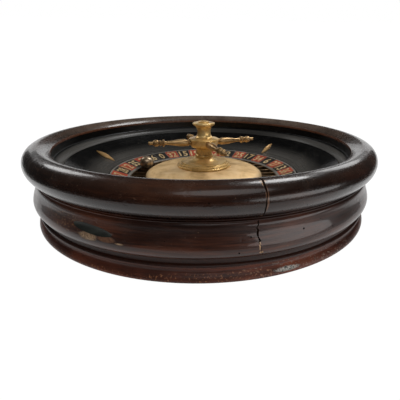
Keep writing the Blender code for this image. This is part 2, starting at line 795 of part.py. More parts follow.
def make_blades(start, end):
    """Thin radial blades with rounded crests, one on each border between two pockets."""
    half = FRET_THICKNESS / 2
    crest = half * FRET_CREST_SHARE
    outline = (
        (-half, 0),
        (half, 0),
        (half, FRET_HEIGHT - half),
        (crest, FRET_HEIGHT),
        (-crest, FRET_HEIGHT),
        (-half, FRET_HEIGHT - half),
    )
    blade = bmesh.new()
    face = blade.faces.new([blade.verts.new((start, across, height)) for across, height in outline])
    grown = bmesh.ops.extrude_face_region(blade, geom=[face])["geom"]
    moved = [part for part in grown if isinstance(part, bmesh.types.BMVert)]
    bmesh.ops.translate(blade, verts=moved, vec=Vector((end - start, 0, 0)))
    bmesh.ops.recalc_face_normals(blade, faces=blade.faces)
    first = FIRST_CELL_ANGLE + 360 / POCKET_COUNT / 2
    return copies(blade, ring_places(POCKET_COUNT, 0, FRET_BOTTOM, first))


def make_fret_ring(finishes, head):
    """The hoop that walls the pockets, with the blades joined to its inside."""
    section = [
        (HOOP_INNER_RADIUS, PAN_BOTTOM),
        (HOOP_OUTER_RADIUS, PAN_BOTTOM),
        (HOOP_OUTER_RADIUS, FRET_TOP),
        (HOOP_INNER_RADIUS, FRET_TOP),
    ]
    ring = piece("fret_ring", turned(section, HEAD_FACETS), finishes["brass"], head)
    root = (HOOP_INNER_RADIUS + inscribed(HOOP_OUTER_RADIUS, HEAD_FACETS)) / 2
    combine(ring, make_blades(CONE_RADIUS + FIT_GAP, root), "fret_blades", "UNION")
    return ring


def make_cone(finishes, head):
    low = (CONE_CROWN_RADIUS, CONE_SHOULDER)
    high = (CONE_RADIUS, CONE_TOP)
    dome = between(low, high, CONE_DOME_SHARES)
    inside = between(
        (CONE_CROWN_RADIUS, CONE_SHOULDER - CONE_WALL),
        (CONE_RADIUS - CONE_WALL, CONE_TOP - CONE_WALL),
        CONE_DOME_SHARES[1::2],
    )
    section = [(CONE_RADIUS, CONE_BOTTOM), (CONE_RADIUS, CONE_SHOULDER), *dome]
    section.append((CONE_CROWN_RADIUS, CONE_TOP))
    section.append((CONE_BORE_RADIUS, CONE_TOP))
    section.append((CONE_BORE_RADIUS, CONE_TOP - CONE_WALL))
    section.append((CONE_CROWN_RADIUS, CONE_TOP - CONE_WALL))
    section.extend(reversed(inside))
    section.append((CONE_RADIUS - CONE_WALL, CONE_SHOULDER - CONE_WALL))
    section.append((CONE_RADIUS - CONE_WALL, CONE_BOTTOM))
    return piece("cone", turned(section, HEAD_FACETS), finishes["brass"], head)


def rounded_step(radius, low, high):
    """The outer edge of a step, from its top inwards corner down to its foot."""
    return [(radius - STEP_ROUND, high), (radius, high - STEP_ROUND), (radius, low)]


def make_turret_base(finishes, head):
    ogee = between((BEAD_NECK_RADIUS, TOP_STEP_TOP), (TOP_STEP_RADIUS, BEAD_BOTTOM), OGEE_SHARES)
    bead_middle = (BEAD_BOTTOM + BEAD_TOP) / 2
    section = [
        (ROD_BORE_RADIUS, BEAD_TOP),
        (BEAD_NECK_RADIUS, BEAD_TOP),
        (BEAD_RADIUS, bead_middle),
        (BEAD_NECK_RADIUS, BEAD_BOTTOM),
        *reversed(ogee),
        *rounded_step(TOP_STEP_RADIUS, MIDDLE_STEP_TOP, TOP_STEP_TOP),
        *rounded_step(MIDDLE_STEP_RADIUS, BASE_FLANGE_TOP, MIDDLE_STEP_TOP),
        *rounded_step(BASE_FLANGE_RADIUS, TURRET_BOTTOM, BASE_FLANGE_TOP),
        (ROD_BORE_RADIUS, TURRET_BOTTOM),
    ]
    return piece("turret_base", turned(section, TURRET_FACETS), finishes["brass"], head)


def make_turret_stem(finishes, head):
    ring = STEM_RADIUS + STEM_RING_PROUD
    section = [
        (ROD_BORE_RADIUS, STEM_TOP),
        (STEM_RADIUS, STEM_TOP),
        (ring, STEM_TOP - STEM_RING_HEIGHT / 2),
        (STEM_RADIUS, STEM_TOP - STEM_RING_HEIGHT),
        (STEM_RADIUS, STEM_BOTTOM + STEM_RING_HEIGHT),
        (ring, STEM_BOTTOM + STEM_RING_HEIGHT / 2),
        (STEM_RADIUS, STEM_BOTTOM),
        (ROD_BORE_RADIUS, STEM_BOTTOM),
    ]
    return piece("turret_stem", turned(section, TURRET_FACETS), finishes["brass"], head)


def arm_pose(number):
    """The matrix that lays a shape turned about Z along an arm's axis, with its start on the wheel's axis."""
    turn = Matrix.Rotation(math.radians(ARM_FIRST_ANGLE) + math.tau * number / ARM_COUNT, 4, "Z")
    lean = math.radians(90 - ARM_TILTS[number % len(ARM_TILTS)])
    return Matrix.Translation((0, 0, ARM_AXIS)) @ turn @ Matrix.Rotation(lean, 4, "Y")


def make_turret_hub(finishes, head):
    drum = between((0, HUB_BOTTOM), (HUB_RADIUS, HUB_TOP), HUB_DRUM_SHARES)
    lid = HUB_RADIUS + HUB_LID_PROUD
    section = [
        (ROD_BORE_RADIUS, HUB_BOTTOM),
        *drum,
        (lid, HUB_TOP - HUB_LID_PROUD),
        (HUB_RADIUS, HUB_TOP),
        (HUB_DOME_RADIUS, HUB_CROWN),
        (ROD_BORE_RADIUS, HUB_CROWN),
    ]
    hub = piece("turret_hub", turned(section, TURRET_FACETS), finishes["brass"], head)
    outside = lid + CUT_OVERRUN
    mouth = inscribed(HUB_RADIUS, TURRET_FACETS) - COUNTERBORE_DEPTH
    socket = [
        (0, HUB_RADIUS - SOCKET_DEPTH),
        (SOCKET_RADIUS, HUB_RADIUS - SOCKET_DEPTH),
        (SOCKET_RADIUS, mouth),
        (COUNTERBORE_RADIUS, mouth),
        (COUNTERBORE_RADIUS, outside),
        (0, outside),
    ]
    poses = [arm_pose(number) for number in range(ARM_COUNT)]
    combine(hub, copies(turned(socket, ARM_FACETS), poses), "hub_sockets")
    return hub


def make_arm(finishes, head, number):
    """A turned arm: a long vase, a collar, a ring, a knob and a thin tip, with a tenon in the hub."""
    start = HUB_RADIUS + HUB_LID_PROUD + ARM_STANDOFF
    section = [
        (0, HUB_RADIUS - SOCKET_DEPTH + SEAT_GAP),
        (ARM_TENON_RADIUS, HUB_RADIUS - SOCKET_DEPTH + SEAT_GAP),
    ]
    for along, thick in ARM_TURNING_SHARES:
        section.append((ARM_RADIUS * thick, start + along * (ARM_REACH - start)))
    section[2] = (ARM_TENON_RADIUS, start)
    section.append((0, ARM_REACH))
    return piece(f"arm_{number + 1}", turned(section, ARM_FACETS), finishes["brass"], head, arm_pose(number))


def make_turret_spool(finishes, head):
    lower = between((SPOOL_WAIST_RADIUS, SPOOL_BOTTOM), (SPOOL_FOOT_RADIUS, SPOOL_TOP), SPOOL_LOWER_SHARES)
    upper = between((SPOOL_WAIST_RADIUS, SPOOL_BOTTOM), (SPOOL_HEAD_RADIUS, SPOOL_TOP), SPOOL_UPPER_SHARES)
    section = [
        (ROD_BORE_RADIUS, SPOOL_BOTTOM),
        (SPOOL_FOOT_RADIUS, SPOOL_BOTTOM),
        *lower,
        *upper,
        (SPOOL_HEAD_RADIUS, SPOOL_TOP),
        (ROD_BORE_RADIUS, SPOOL_TOP),
    ]
    return piece("turret_spool", turned(section, TURRET_FACETS), finishes["brass"], head)


def make_turret_cap(finishes, head):
    section = [
        (ROD_BORE_RADIUS, CAP_BOTTOM),
        *between((0, CAP_BOTTOM), (CAP_RADIUS, CAP_TOP), CAP_EDGE_SHARES),
        (BOSS_RADIUS, CAP_TOP),
        (BOSS_RADIUS, BOSS_TOP - STEP_ROUND),
        (BOSS_RADIUS - STEP_ROUND, BOSS_TOP),
        (BOSS_DISH_RADIUS, BOSS_TOP),
        (BOSS_DISH_RADIUS, DISH_BOTTOM),
        (ROD_BORE_RADIUS, DISH_BOTTOM),
    ]
    return piece("turret_cap", turned(section, TURRET_FACETS), finishes["brass"], head)


def make_bearing_bush(finishes, head):
    section = [
        (0, BUSH_BORE_TOP),
        (SPINDLE_BORE_RADIUS, BUSH_BORE_TOP),
        (SPINDLE_BORE_RADIUS, DISC_BOTTOM),
        (BUSH_RADIUS, DISC_BOTTOM),
        (BUSH_RADIUS, BUSH_FLANGE_BOTTOM),
        (BUSH_FLANGE_RADIUS, BUSH_FLANGE_BOTTOM),
        (BUSH_FLANGE_RADIUS, BUSH_FLANGE_TOP),
        (BUSH_RADIUS, BUSH_FLANGE_TOP),
        (BUSH_RADIUS, BUSH_TOP),
        (ROD_BORE_RADIUS, BUSH_TOP),
        (ROD_BORE_RADIUS, ROD_BORE_BOTTOM),
        (0, ROD_BORE_BOTTOM),
    ]
    bush = piece("bearing_bush", turned(section, SHAFT_FACETS), finishes["brass"], head)
    holes = screw_holes(BUSH_SCREW_LENGTH, bush_screw_places())
    combine(bush, holes, "bush_screw_holes")
    return bush


def make_turret_rod(finishes, head):
    low = ROD_BORE_BOTTOM + SEAT_GAP
    high = DISH_BOTTOM - ROD_SHORTFALL
    section = [(0, low), (ROD_RADIUS, low), (ROD_RADIUS, high), (0, high)]
    return piece("turret_rod", turned(section, SHAFT_FACETS), finishes["steel"], head)


def make_wheelhead(finishes):
    head = bpy.data.objects.new("wheelhead_axis", None)
    bpy.context.scene.collection.objects.link(head)
    make_wheelhead_disc(finishes, head)
    make_ring_bed(finishes, head)
    make_number_ring(finishes, head)
    make_pocket_pan(finishes, head)
    make_fret_ring(finishes, head)
    make_cone(finishes, head)
    make_turret_base(finishes, head)
    make_turret_stem(finishes, head)
    make_turret_hub(finishes, head)
    for number in range(ARM_COUNT):
        make_arm(finishes, head, number)
    make_turret_spool(finishes, head)
    make_turret_cap(finishes, head)
    make_bearing_bush(finishes, head)
    make_screws("bush_screw", BUSH_SCREW_LENGTH, bush_screw_places(), finishes["steel"], head)
    make_turret_rod(finishes, head)
    return head


def ball_place():
    """Where the ball comes to rest: on the crests of two frets and the hoop's inner edge, all equally near."""
    hoop = inscribed(HOOP_INNER_RADIUS, HEAD_FACETS)
    half_pocket = math.sin(math.pi / POCKET_COUNT)
    radius = (hoop + FRET_THICKNESS / 2) / (1 + half_pocket)
    aside = hoop - radius
    height = FRET_TOP + math.sqrt((BALL_RADIUS + SEAT_GAP) ** 2 - aside**2)
    angle = math.radians(FIRST_CELL_ANGLE + BALL_CELLS_FROM_FIRST * 360 / POCKET_COUNT)
    return Matrix.Translation((radius * math.cos(angle), radius * math.sin(angle), height))


def make_ball(finishes, head):
    shape = round_ball(BALL_RADIUS, 0, BALL_SEGMENTS, BALL_RINGS)
    return piece("ball", shape, finishes["bronze"], head, ball_place())


clear_scene()
finishes = make_finishes()
make_bowl(finishes)
wheelhead = make_wheelhead(finishes)
make_ball(finishes, wheelhead)
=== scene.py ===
import math
import random

import bmesh
import bpy
from mathutils import Matrix, Vector


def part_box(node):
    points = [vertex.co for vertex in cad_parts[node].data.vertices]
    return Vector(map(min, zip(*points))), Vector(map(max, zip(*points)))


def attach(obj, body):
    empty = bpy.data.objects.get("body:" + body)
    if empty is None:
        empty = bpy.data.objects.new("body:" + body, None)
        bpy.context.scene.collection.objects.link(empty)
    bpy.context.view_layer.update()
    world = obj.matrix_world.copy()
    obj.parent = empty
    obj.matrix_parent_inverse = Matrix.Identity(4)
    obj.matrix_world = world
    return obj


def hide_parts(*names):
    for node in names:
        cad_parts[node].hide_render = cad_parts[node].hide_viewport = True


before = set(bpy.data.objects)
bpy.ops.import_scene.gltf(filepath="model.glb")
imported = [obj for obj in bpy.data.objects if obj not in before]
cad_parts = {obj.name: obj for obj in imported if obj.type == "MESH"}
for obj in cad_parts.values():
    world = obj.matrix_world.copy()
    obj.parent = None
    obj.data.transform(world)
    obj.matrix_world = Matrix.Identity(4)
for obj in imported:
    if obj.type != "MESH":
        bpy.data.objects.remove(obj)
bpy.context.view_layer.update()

# Camera: the frame's metres, degrees, and the photo's pixels
CAMERA_SPOT = (0, -0.51135, 0.19285)
CAMERA_TURN = (3.015, 21.379, -0.581)
SENSOR = 36
FOCAL_PIXELS = 327.56
PHOTO_PIXELS = 400
LENS_SHIFT = -0.0513

# Studio: metres, watts and levels of light. A lamp is its name, watts, two widths and place
SHEET_R = 0.46
SHEET_DROP = 0.0004
SWEEP_WIDE = 1.2
SWEEP_START = 1
SWEEP_R = 0.25
SWEEP_TALL = 0.42
SHEET_MATT = 0.8
SHEET_GLOW = 1.03
SHEET_SEEN = 0.97
SHEET_MIRRORED = 0.84
ROOM_MIRRORED = 0.03
ROOM_LEVEL = 0.5
LAMP_AIM = (0, 0, 0.06)
LAMPS = (
    ("lamp_left", 2.2, (0.40, 0.5), (-0.92, 0.70, 0.86)),
    ("lamp_right", 8.5, (0.55, 0.55), (0.63, 0.49, 1.33)),
    ("lamp_low_right", 1.4, (0.5, 0.4), (0.87, 0.95, 0.75)),
    ("lamp_fill", 4.2, (1.4, 0.38), (1.02, -0.84, 0.14)),
    ("lamp_front", 4.4, (1.4, 0.8), (0.25, -0.95, 1.32)),
)

# Wheel: millimetres and degrees, times MM for the frame's metres. A lozenge is its angle and its share of the way
# up the slope. The figures' widths are for a 1, for other single figures and for two figures. The arm's profile is
# distances along it and radii
MM = 0.001
WIDE_FACETS = 240
SLIM_FACETS = 96
SHARP = 32
MARK_R = 245
WOOD_BORE = 221.96
LINING_R = 221.66
RIM_MIDDLE = (230.6, 84)
RIM_FLAT = 3.0
ROLL_INSIDE = (225, 84)
BELLY_TOP = 66
SLOPE_START = 148
SLOPE_RUN = 55.26
SLOPE_LOW = 46.3
SLOPE_RISE = 24.9
SLOPE_BEND = 1.4
LOZENGE_LONG = 37.5
LOZENGES = ((43.5, 0.38), (164.0, 0.50), (284.0, 0.44))
CELLS = 37
CELL = 360 / CELLS
CELL_LINE = 0.26
FIRST_CELL = 127.3
WHEEL_ORDER = (
    0, 32, 15, 19, 4, 21, 2, 25, 17, 34, 6, 27, 13, 36, 11, 30, 8, 23, 10,
    5, 24, 16, 33, 1, 20, 14, 31, 9, 22, 18, 29, 7, 28, 12, 35, 3, 26,
)
RING_INNER = 117.8
RING_LOW = 37.3
RING_RUN = 28.4
RING_RISE = 9.0
FIGURE_TALL = 17.6
FIGURE_WIDE = (5.5, 8.6, 16.4)
FIGURE_MIDDLE = 132.6
FIGURE_TRUE_R = 133
FIGURE_LIFT = 0.12
PAN_TOP = 30.1
DOME_R = 92.8
TURRET_BORE = 3.3
ARMS = 4
FIRST_ARM = 20
ARM_SAG = (0, -3.2, 3.0, 0)
ARM_HEIGHT = 89.7
ARM_START = 24.3
ARM_END = 87.0
ARM_PROFILE = (
    (-8.0, 3.2), (-2.4, 3.2), (-0.6, 3.3), (0.0, 3.6), (0.4, 4.5), (1.0, 4.9), (1.7, 4.7), (2.1, 4.3),
    (2.6, 4.7), (4.6, 5.2), (8.0, 5.5), (12.5, 5.45), (17.0, 5.1), (21.0, 4.5), (25.0, 3.8), (29.0, 3.25),
    (33.0, 2.95), (37.4, 2.9), (38.4, 3.3), (38.9, 4.6), (39.5, 5.2), (40.4, 5.3), (41.2, 5.0), (41.6, 3.6),
    (42.2, 2.8), (42.9, 2.8), (43.4, 3.6), (43.9, 4.3), (44.7, 4.5), (45.5, 4.1), (46.0, 3.1), (46.7, 2.8),
    (47.3, 3.3), (48.2, 4.2), (49.6, 4.75), (51.4, 4.9), (53.2, 4.7), (54.5, 4.0), (55.3, 3.0), (56.0, 2.5),
    (58.0, 2.35), (60.8, 2.4), (61.9, 2.1), (62.5, 1.3), (62.7, 0.0),
)
SOCKET_R = 5.0
SOCKET_START = 19.3
SOCKET_LONG = 10
BALL_R = 11.75


# Camera, floor and light

def place_camera():
    yaw, pitch, roll = (math.radians(v) for v in CAMERA_TURN)
    ahead = Vector((math.sin(yaw) * math.cos(pitch), math.cos(yaw) * math.cos(pitch), -math.sin(pitch)))
    level = Vector((math.cos(yaw), -math.sin(yaw), 0))
    down = ahead.cross(level)
    right = math.cos(roll) * level + math.sin(roll) * down
    up = math.sin(roll) * level - math.cos(roll) * down
    lens = bpy.data.cameras.new("lens")
    lens.sensor_width = SENSOR
    lens.lens = FOCAL_PIXELS * SENSOR / PHOTO_PIXELS
    lens.shift_x = LENS_SHIFT
    lens.clip_start = 0.01
    camera = bpy.data.objects.new("camera", lens)
    bpy.context.scene.collection.objects.link(camera)
    matrix = Matrix((right, up, -ahead)).transposed().to_4x4()
    matrix.translation = CAMERA_SPOT
    camera.matrix_world = matrix
    bpy.context.scene.camera = camera


def sheet_material():
    """An even white where it is looked at or mirrored, and matt for the light that it throws on the wheel."""
    material = bpy.data.materials.new("studio_white")
    material.use_nodes = True
    tree = material.node_tree
    tree.nodes.clear()
    out = tree.nodes.new("ShaderNodeOutputMaterial")
    mix = tree.nodes.new("ShaderNodeMixShader")
    matt = tree.nodes.new("ShaderNodeBsdfDiffuse")
    glow = tree.nodes.new("ShaderNodeEmission")
    path = tree.nodes.new("ShaderNodeLightPath")
    seen = path.outputs["Is Camera Ray"]
    for kind, share in (("Is Glossy Ray", SHEET_MIRRORED), ("Is Transmission Ray", 1)):
        dimmed = tree.nodes.new("ShaderNodeMath")
        dimmed.operation = "MULTIPLY"
        dimmed.inputs[1].default_value = share
        tree.links.new(path.outputs[kind], dimmed.inputs[0])
        both = tree.nodes.new("ShaderNodeMath")
        both.operation = "MAXIMUM"
        tree.links.new(seen, both.inputs[0])
        tree.links.new(dimmed.outputs[0], both.inputs[1])
        seen = both.outputs[0]
    part = tree.nodes.new("ShaderNodeMath")
    part.operation = "MULTIPLY"
    part.inputs[1].default_value = SHEET_SEEN
    matt.inputs["Color"].default_value = (SHEET_MATT, SHEET_MATT, SHEET_MATT, 1)
    glow.inputs["Strength"].default_value = SHEET_GLOW
    tree.links.new(seen, part.inputs[0])
    tree.links.new(part.outputs[0], mix.inputs[0])
    tree.links.new(matt.outputs[0], mix.inputs[1])
    tree.links.new(glow.outputs[0], mix.inputs[2])
    tree.links.new(mix.outputs[0], out.inputs["Surface"])
    return material


def lay_floor():
    """A white sheet: a round end in front, wider behind the wheel, where it sweeps up."""
    rows = []
    for step in range(13):
        lean = math.radians(90 * step / 12)
        rows.append((-SHEET_R * math.cos(lean), 0, SHEET_R * math.sin(lean)))
    widening = 4
    rows += [
        (SWEEP_START / widening * n, 0, SHEET_R + (SWEEP_WIDE - SHEET_R) * n / widening)
        for n in range(1, widening + 1)
    ]
    for step in range(1, 9):
        lean = math.radians(90 * step / 8)
        rows.append((SWEEP_START + SWEEP_R * math.sin(lean), SWEEP_R - SWEEP_R * math.cos(lean), SWEEP_WIDE))
    rows.append((SWEEP_START + SWEEP_R, SWEEP_TALL, SWEEP_WIDE))
    shape = bmesh.new()
    lines = []
    for y, z, half in rows:
        half = max(half, 0.001)
        lines.append([shape.verts.new((half * side / 8, y, z)) for side in range(-8, 9)])
    for low, high in zip(lines, lines[1:]):
        for n in range(16):
            shape.faces.new((low[n], low[n + 1], high[n + 1], high[n]))
    floor = make("floor", shape, [sheet_material()])
    floor.location.z = -SHEET_DROP


def lamp(name, power, size, spot):
    data = bpy.data.lights.new(name, "AREA")
    data.shape = "ELLIPSE"
    data.size, data.size_y = size
    data.energy = power
    made = bpy.data.objects.new(name, data)
    bpy.context.scene.collection.objects.link(made)
    made.location = spot
    made.rotation_euler = (Vector(LAMP_AIM) - Vector(spot)).to_track_quat("-Z", "Y").to_euler()


def light_room():
    """A level room, dim where polished pieces mirror it and white where the camera looks past the sheet."""
    world = bpy.data.worlds.new("room")
    world.use_nodes = True
    tree = world.node_tree
    shade = tree.nodes["Background"]
    shade.inputs["Color"].default_value = (ROOM_MIRRORED, ROOM_MIRRORED, ROOM_MIRRORED, 1)
    path = tree.nodes.new("ShaderNodeLightPath")
    for kind, level in (("Is Diffuse Ray", ROOM_LEVEL), ("Is Camera Ray", 1)):
        plain = tree.nodes.new("ShaderNodeBackground")
        plain.inputs["Color"].default_value = (level, level, level, 1)
        mix = tree.nodes.new("ShaderNodeMixShader")
        tree.links.new(path.outputs[kind], mix.inputs[0])
        tree.links.new(shade.outputs[0], mix.inputs[1])
        tree.links.new(plain.outputs[0], mix.inputs[2])
        shade = mix
    tree.links.new(shade.outputs[0], tree.nodes["World Output"].inputs["Surface"])
    bpy.context.scene.world = world
    bpy.context.scene.view_settings.view_transform = "Standard"
    for values in LAMPS:
        lamp(*values)


# Materials, each built from nodes in the piece's own coordinates

class Paint:
    """One material's nodes. The methods give sockets, and take sockets or numbers."""

    def __init__(self, name, metallic=0.0, coat=0.0, mirror=0.5):
        self.material = bpy.data.materials.new(name)
        self.material.use_nodes = True
        self.tree = self.material.node_tree
        self.shader = self.tree.nodes["Principled BSDF"]
        self.shader.inputs["Metallic"].default_value = metallic
        self.shader.inputs["Coat Weight"].default_value = coat
        self.shader.inputs["Coat Roughness"].default_value = 0.06
        self.shader.inputs["Specular IOR Level"].default_value = mirror
        self.place = self.node("ShaderNodeTexCoord").outputs["Object"]
        split = self.node("ShaderNodeSeparateXYZ")
        self.feed(split.inputs[0], self.place)
        self.x, self.y, self.z = split.outputs
        self.height = self.times(self.z, 1000)

    def node(self, kind, **settings):
        made = self.tree.nodes.new(kind)
        for key, value in settings.items():
            setattr(made, key, value)
        return made

    def feed(self, socket, value):
        if isinstance(value, bpy.types.NodeSocket):
            self.tree.links.new(value, socket)
        else:
            socket.default_value = value

    def calc(self, operation, *values):
        made = self.node("ShaderNodeMath", operation=operation)
        for socket, value in zip(made.inputs, values):
            self.feed(socket, value)
        return made.outputs[0]

    def plus(self, first, second):
        return self.calc("ADD", first, second)

    def minus(self, first, second):
        return self.calc("SUBTRACT", first, second)

    def times(self, first, second):
        return self.calc("MULTIPLY", first, second)

    def turned(self):
        """Sets the millimetres along the circle and out from the axis. Gives seamless grain coordinates."""
        angle = self.calc("ARCTAN2", self.x, self.times(self.y, -1))
        self.along = self.times(angle, MARK_R)
        square = self.plus(self.calc("POWER", self.x, 2), self.calc("POWER", self.y, 2))
        self.out = self.times(self.calc("SQRT", square), 1000)
        join = self.node("ShaderNodeCombineXYZ")
        across_grain = self.plus(self.out, self.height)
        for socket, value in zip(join.inputs, (self.times(self.x, 1000), self.times(self.y, 1000), across_grain)):
            self.feed(socket, value)
        return join.outputs[0]

    def stretch(self, vector, along, across):
        """Scales the first two coordinates by one number and the third by another."""
        made = self.node("ShaderNodeVectorMath", operation="MULTIPLY")
        self.feed(made.inputs[0], vector)
        made.inputs[1].default_value = (along, along, across)
        return made.outputs[0]

    def noise(self, vector, scale, detail=4, rough=0.55, twist=0.0):
        made = self.node("ShaderNodeTexNoise")
        self.feed(made.inputs["Vector"], vector)
        made.inputs["Scale"].default_value = scale
        made.inputs["Detail"].default_value = detail
        made.inputs["Roughness"].default_value = rough
        made.inputs["Distortion"].default_value = twist
        return made.outputs["Fac"]

    def cells(self, vector, scale, feature="F1"):
        made = self.node("ShaderNodeTexVoronoi", feature=feature)
        self.feed(made.inputs["Vector"], vector)
        made.inputs["Scale"].default_value = scale
        return made.outputs["Distance"]

    def step(self, value, low, high, from_low=0.0, to_high=1.0):
        made = self.node("ShaderNodeMapRange", interpolation_type="SMOOTHSTEP")
        self.feed(made.inputs["Value"], value)
        made.inputs["From Min"].default_value = low
        made.inputs["From Max"].default_value = high
        made.inputs["To Min"].default_value = from_low
        made.inputs["To Max"].default_value = to_high
        return made.outputs[0]

    def ramp(self, value, *stops):
        made = self.node("ShaderNodeValToRGB")
        self.feed(made.inputs[0], value)
        points = made.color_ramp.elements
        while len(points) < len(stops):
            points.new(0.5)
        for point, (at, colour) in zip(points, stops):
            point.position = at
            point.color = (*colour, 1)
        return made.outputs[0]

    def mix(self, amount, first, second):
        made = self.node("ShaderNodeMix", data_type="RGBA")
        self.feed(made.inputs[0], amount)
        for socket, value in ((made.inputs[6], first), (made.inputs[7], second)):
            self.feed(socket, value if isinstance(value, bpy.types.NodeSocket) else (*value, 1))
        return made.outputs[2]

    def patch(self, along, level, half_length, half_level, rag, by="height"):
        """A ragged oval, placed in millimetres along the circle and by height or distance from the axis."""
        level_at = self.height if by == "height" else self.out
        across = self.calc("DIVIDE", self.minus(self.along, along), half_length)
        up = self.calc("DIVIDE", self.minus(level_at, level), half_level)
        far = self.plus(self.calc("POWER", self.calc("ABSOLUTE", across), 2),
                        self.calc("POWER", self.calc("ABSOLUTE", up), 2))
        ragged = self.plus(far, self.times(self.minus(self.rag, 0.5), 4 * rag))
        return self.step(ragged, 0.65, 1.35, 1, 0)

    def bump(self, height, strength, distance):
        made = self.node("ShaderNodeBump")
        self.feed(made.inputs["Height"], height)
        made.inputs["Strength"].default_value = strength
        made.inputs["Distance"].default_value = distance
        return made.outputs[0]

    def finish(self, colour, roughness, normal):
        self.feed(self.shader.inputs["Base Color"], colour)
        self.feed(self.shader.inputs["Roughness"], roughness)
        self.feed(self.shader.inputs["Normal"], normal)
        return self.material


MAHOGANY = (
    (0.36, (0.011, 0.0030, 0.0013)), (0.48, (0.028, 0.0084, 0.0038)),
    (0.58, (0.062, 0.019, 0.0082)), (0.72, (0.130, 0.042, 0.0165)),
)


def polished_wood(name, coat, smooth, tone, marks, worn_edge=None):
    """Dark mahogany under old polish, its grain running round the bowl.

    A mark is its kind, two colours and what Paint.patch takes: a stain only colours, specks are scattered, and a
    raw mark is rough and sunk too. With worn_edge, two distances from the axis, the rim's inner edge is rubbed bare
    up to the first and fades out by the second, and a pale grey lies on the rim's top, stronger towards the back:
    partly a dusty film, partly painted sheen.
    """
    p = Paint(name, coat=coat, mirror=0.3)
    grain_space = p.turned()
    p.rag = p.noise(p.place, 430, 6, 0.68)
    broad = p.noise(p.stretch(grain_space, 0.010, 0.045), 1, 3, 0.5, 0.5)
    grain = p.noise(p.stretch(grain_space, 0.016, 0.50), 1, 6, 0.62, 0.7)
    pores = p.noise(p.stretch(grain_space, 0.12, 2.6), 1, 3, 0.7)
    blend = p.plus(p.times(broad, 0.55), p.times(grain, 0.45))
    colour = p.ramp(blend, *((at, tuple(t * v for t, v in zip(tone, shade))) for at, shade in MAHOGANY))
    colour = p.mix(p.step(pores, 0.58, 0.70, 0, 0.5), colour, (0.005, 0.002, 0.0012))

    haze = p.noise(p.place, 30, 4, 0.6)
    colour = p.mix(p.step(haze, 0.54, 0.80, 0, 0.10), colour, (0.15, 0.11, 0.085))
    specks = p.times(p.step(p.cells(p.place, 170), 0.0, 0.11, 1, 0), p.step(haze, 0.50, 0.62))
    colour = p.mix(p.times(specks, 0.55), colour, (0.30, 0.18, 0.10))
    scratches = p.step(p.cells(p.stretch(grain_space, 0.05, 0.9), 0.8, "DISTANCE_TO_EDGE"), 0.0, 0.012, 1, 0)
    scratches = p.times(scratches, p.step(p.noise(p.place, 18, 2), 0.52, 0.62, 0, 0.35))
    colour = p.mix(scratches, colour, (0.15, 0.080, 0.048))

    roughness = p.plus(smooth, p.times(p.noise(p.place, 60, 5, 0.65), 0.20))
    dents = p.step(p.noise(p.place, 90, 3, 0.6), 0.28, 0.40, 1, 0)
    height = p.plus(p.times(grain, 0.6), p.times(pores, 0.25))
    height = p.minus(height, p.times(dents, 0.7))
    if worn_edge:
        edge = p.plus(p.out, p.times(p.minus(p.rag, 0.5), 3.0))
        below_top = p.step(p.height, 94.5, 96.5, 1, 0)
        colour = p.mix(p.times(p.step(edge, *worn_edge, 0.75, 0), below_top), colour, (0.13, 0.046, 0.021))
        # A pale grey on the rim's top, stronger towards the back: partly a dusty film, partly painted sheen.
        dust_and_sheen = p.times(p.step(p.height, 90, 99), p.step(p.y, -0.10, 0.16, 0.06, 0.62))
        dust_and_sheen = p.times(dust_and_sheen, p.step(p.noise(p.place, 45, 5, 0.65), 0.30, 0.62, 0.55, 1))
        colour = p.mix(dust_and_sheen, colour, (0.15, 0.112, 0.086))
    for kind, colours, *shape in marks:
        mask = p.patch(*shape)
        if kind == "specks":
            mask = p.times(mask, p.step(p.rag, 0.37, 0.45, 0.9, 0))
        tint = p.ramp(p.rag, (0.38, colours[0]), (0.62, colours[1]))
        colour = p.mix(mask, colour, tint)
        if kind == "raw":
            roughness = p.plus(roughness, p.times(mask, 0.4))
            height = p.minus(height, p.times(p.times(mask, p.rag), 2.6))
    return p.finish(colour, roughness, p.bump(height, 0.26, 0.0010))


def black_lacquer(name, wear_sheen_low, wear_sheen_high, wear, smooth):
    """Black lacquer turned grey within one distance from the axis, fading out up to another: partly rubbed wear,
    partly painted sheen.
    """
    p = Paint(name, mirror=0.28)
    space = p.turned()
    rings = p.noise(p.stretch(space, 0.006, 0.9), 1, 5, 0.65)
    cloud = p.noise(p.place, 20, 6, 0.66, 0.6)
    dust_and_sheen = p.noise(p.place, 240, 4, 0.7)
    # Grey inside the first distance: partly rubbed wear, partly painted sheen.
    wear_and_sheen = p.step(p.out, wear_sheen_low, wear_sheen_high, 1, 0)
    amount = p.plus(p.times(wear_and_sheen, wear), p.times(p.step(cloud, 0.50, 0.72), 0.10))
    amount = p.times(amount, p.step(rings, 0.30, 0.62, 0.45, 1))
    # Less grey towards the back of the bowl, so the far side stays dark: painted shade.
    amount = p.times(amount, p.step(p.y, 0.07, 0.19, 1, 0.4))
    colour = p.mix(amount, (0.0016, 0.0016, 0.0016), (0.085, 0.080, 0.072))
    speckle = p.times(p.step(dust_and_sheen, 0.60, 0.74), p.step(cloud, 0.46, 0.60, 0, 0.35))
    colour = p.mix(speckle, colour, (0.16, 0.14, 0.11))
    roughness = p.plus(smooth, p.times(p.noise(p.place, 46, 5, 0.7), 0.18))
    scratches = p.step(p.cells(p.stretch(space, 0.03, 0.6), 1.0, "DISTANCE_TO_EDGE"), 0.0, 0.012, 1, 0)
    colour = p.mix(p.times(scratches, 0.08), colour, (0.22, 0.20, 0.17))
    return p.finish(colour, roughness, p.bump(p.plus(rings, p.times(dust_and_sheen, 0.3)), 0.16, 0.0006))


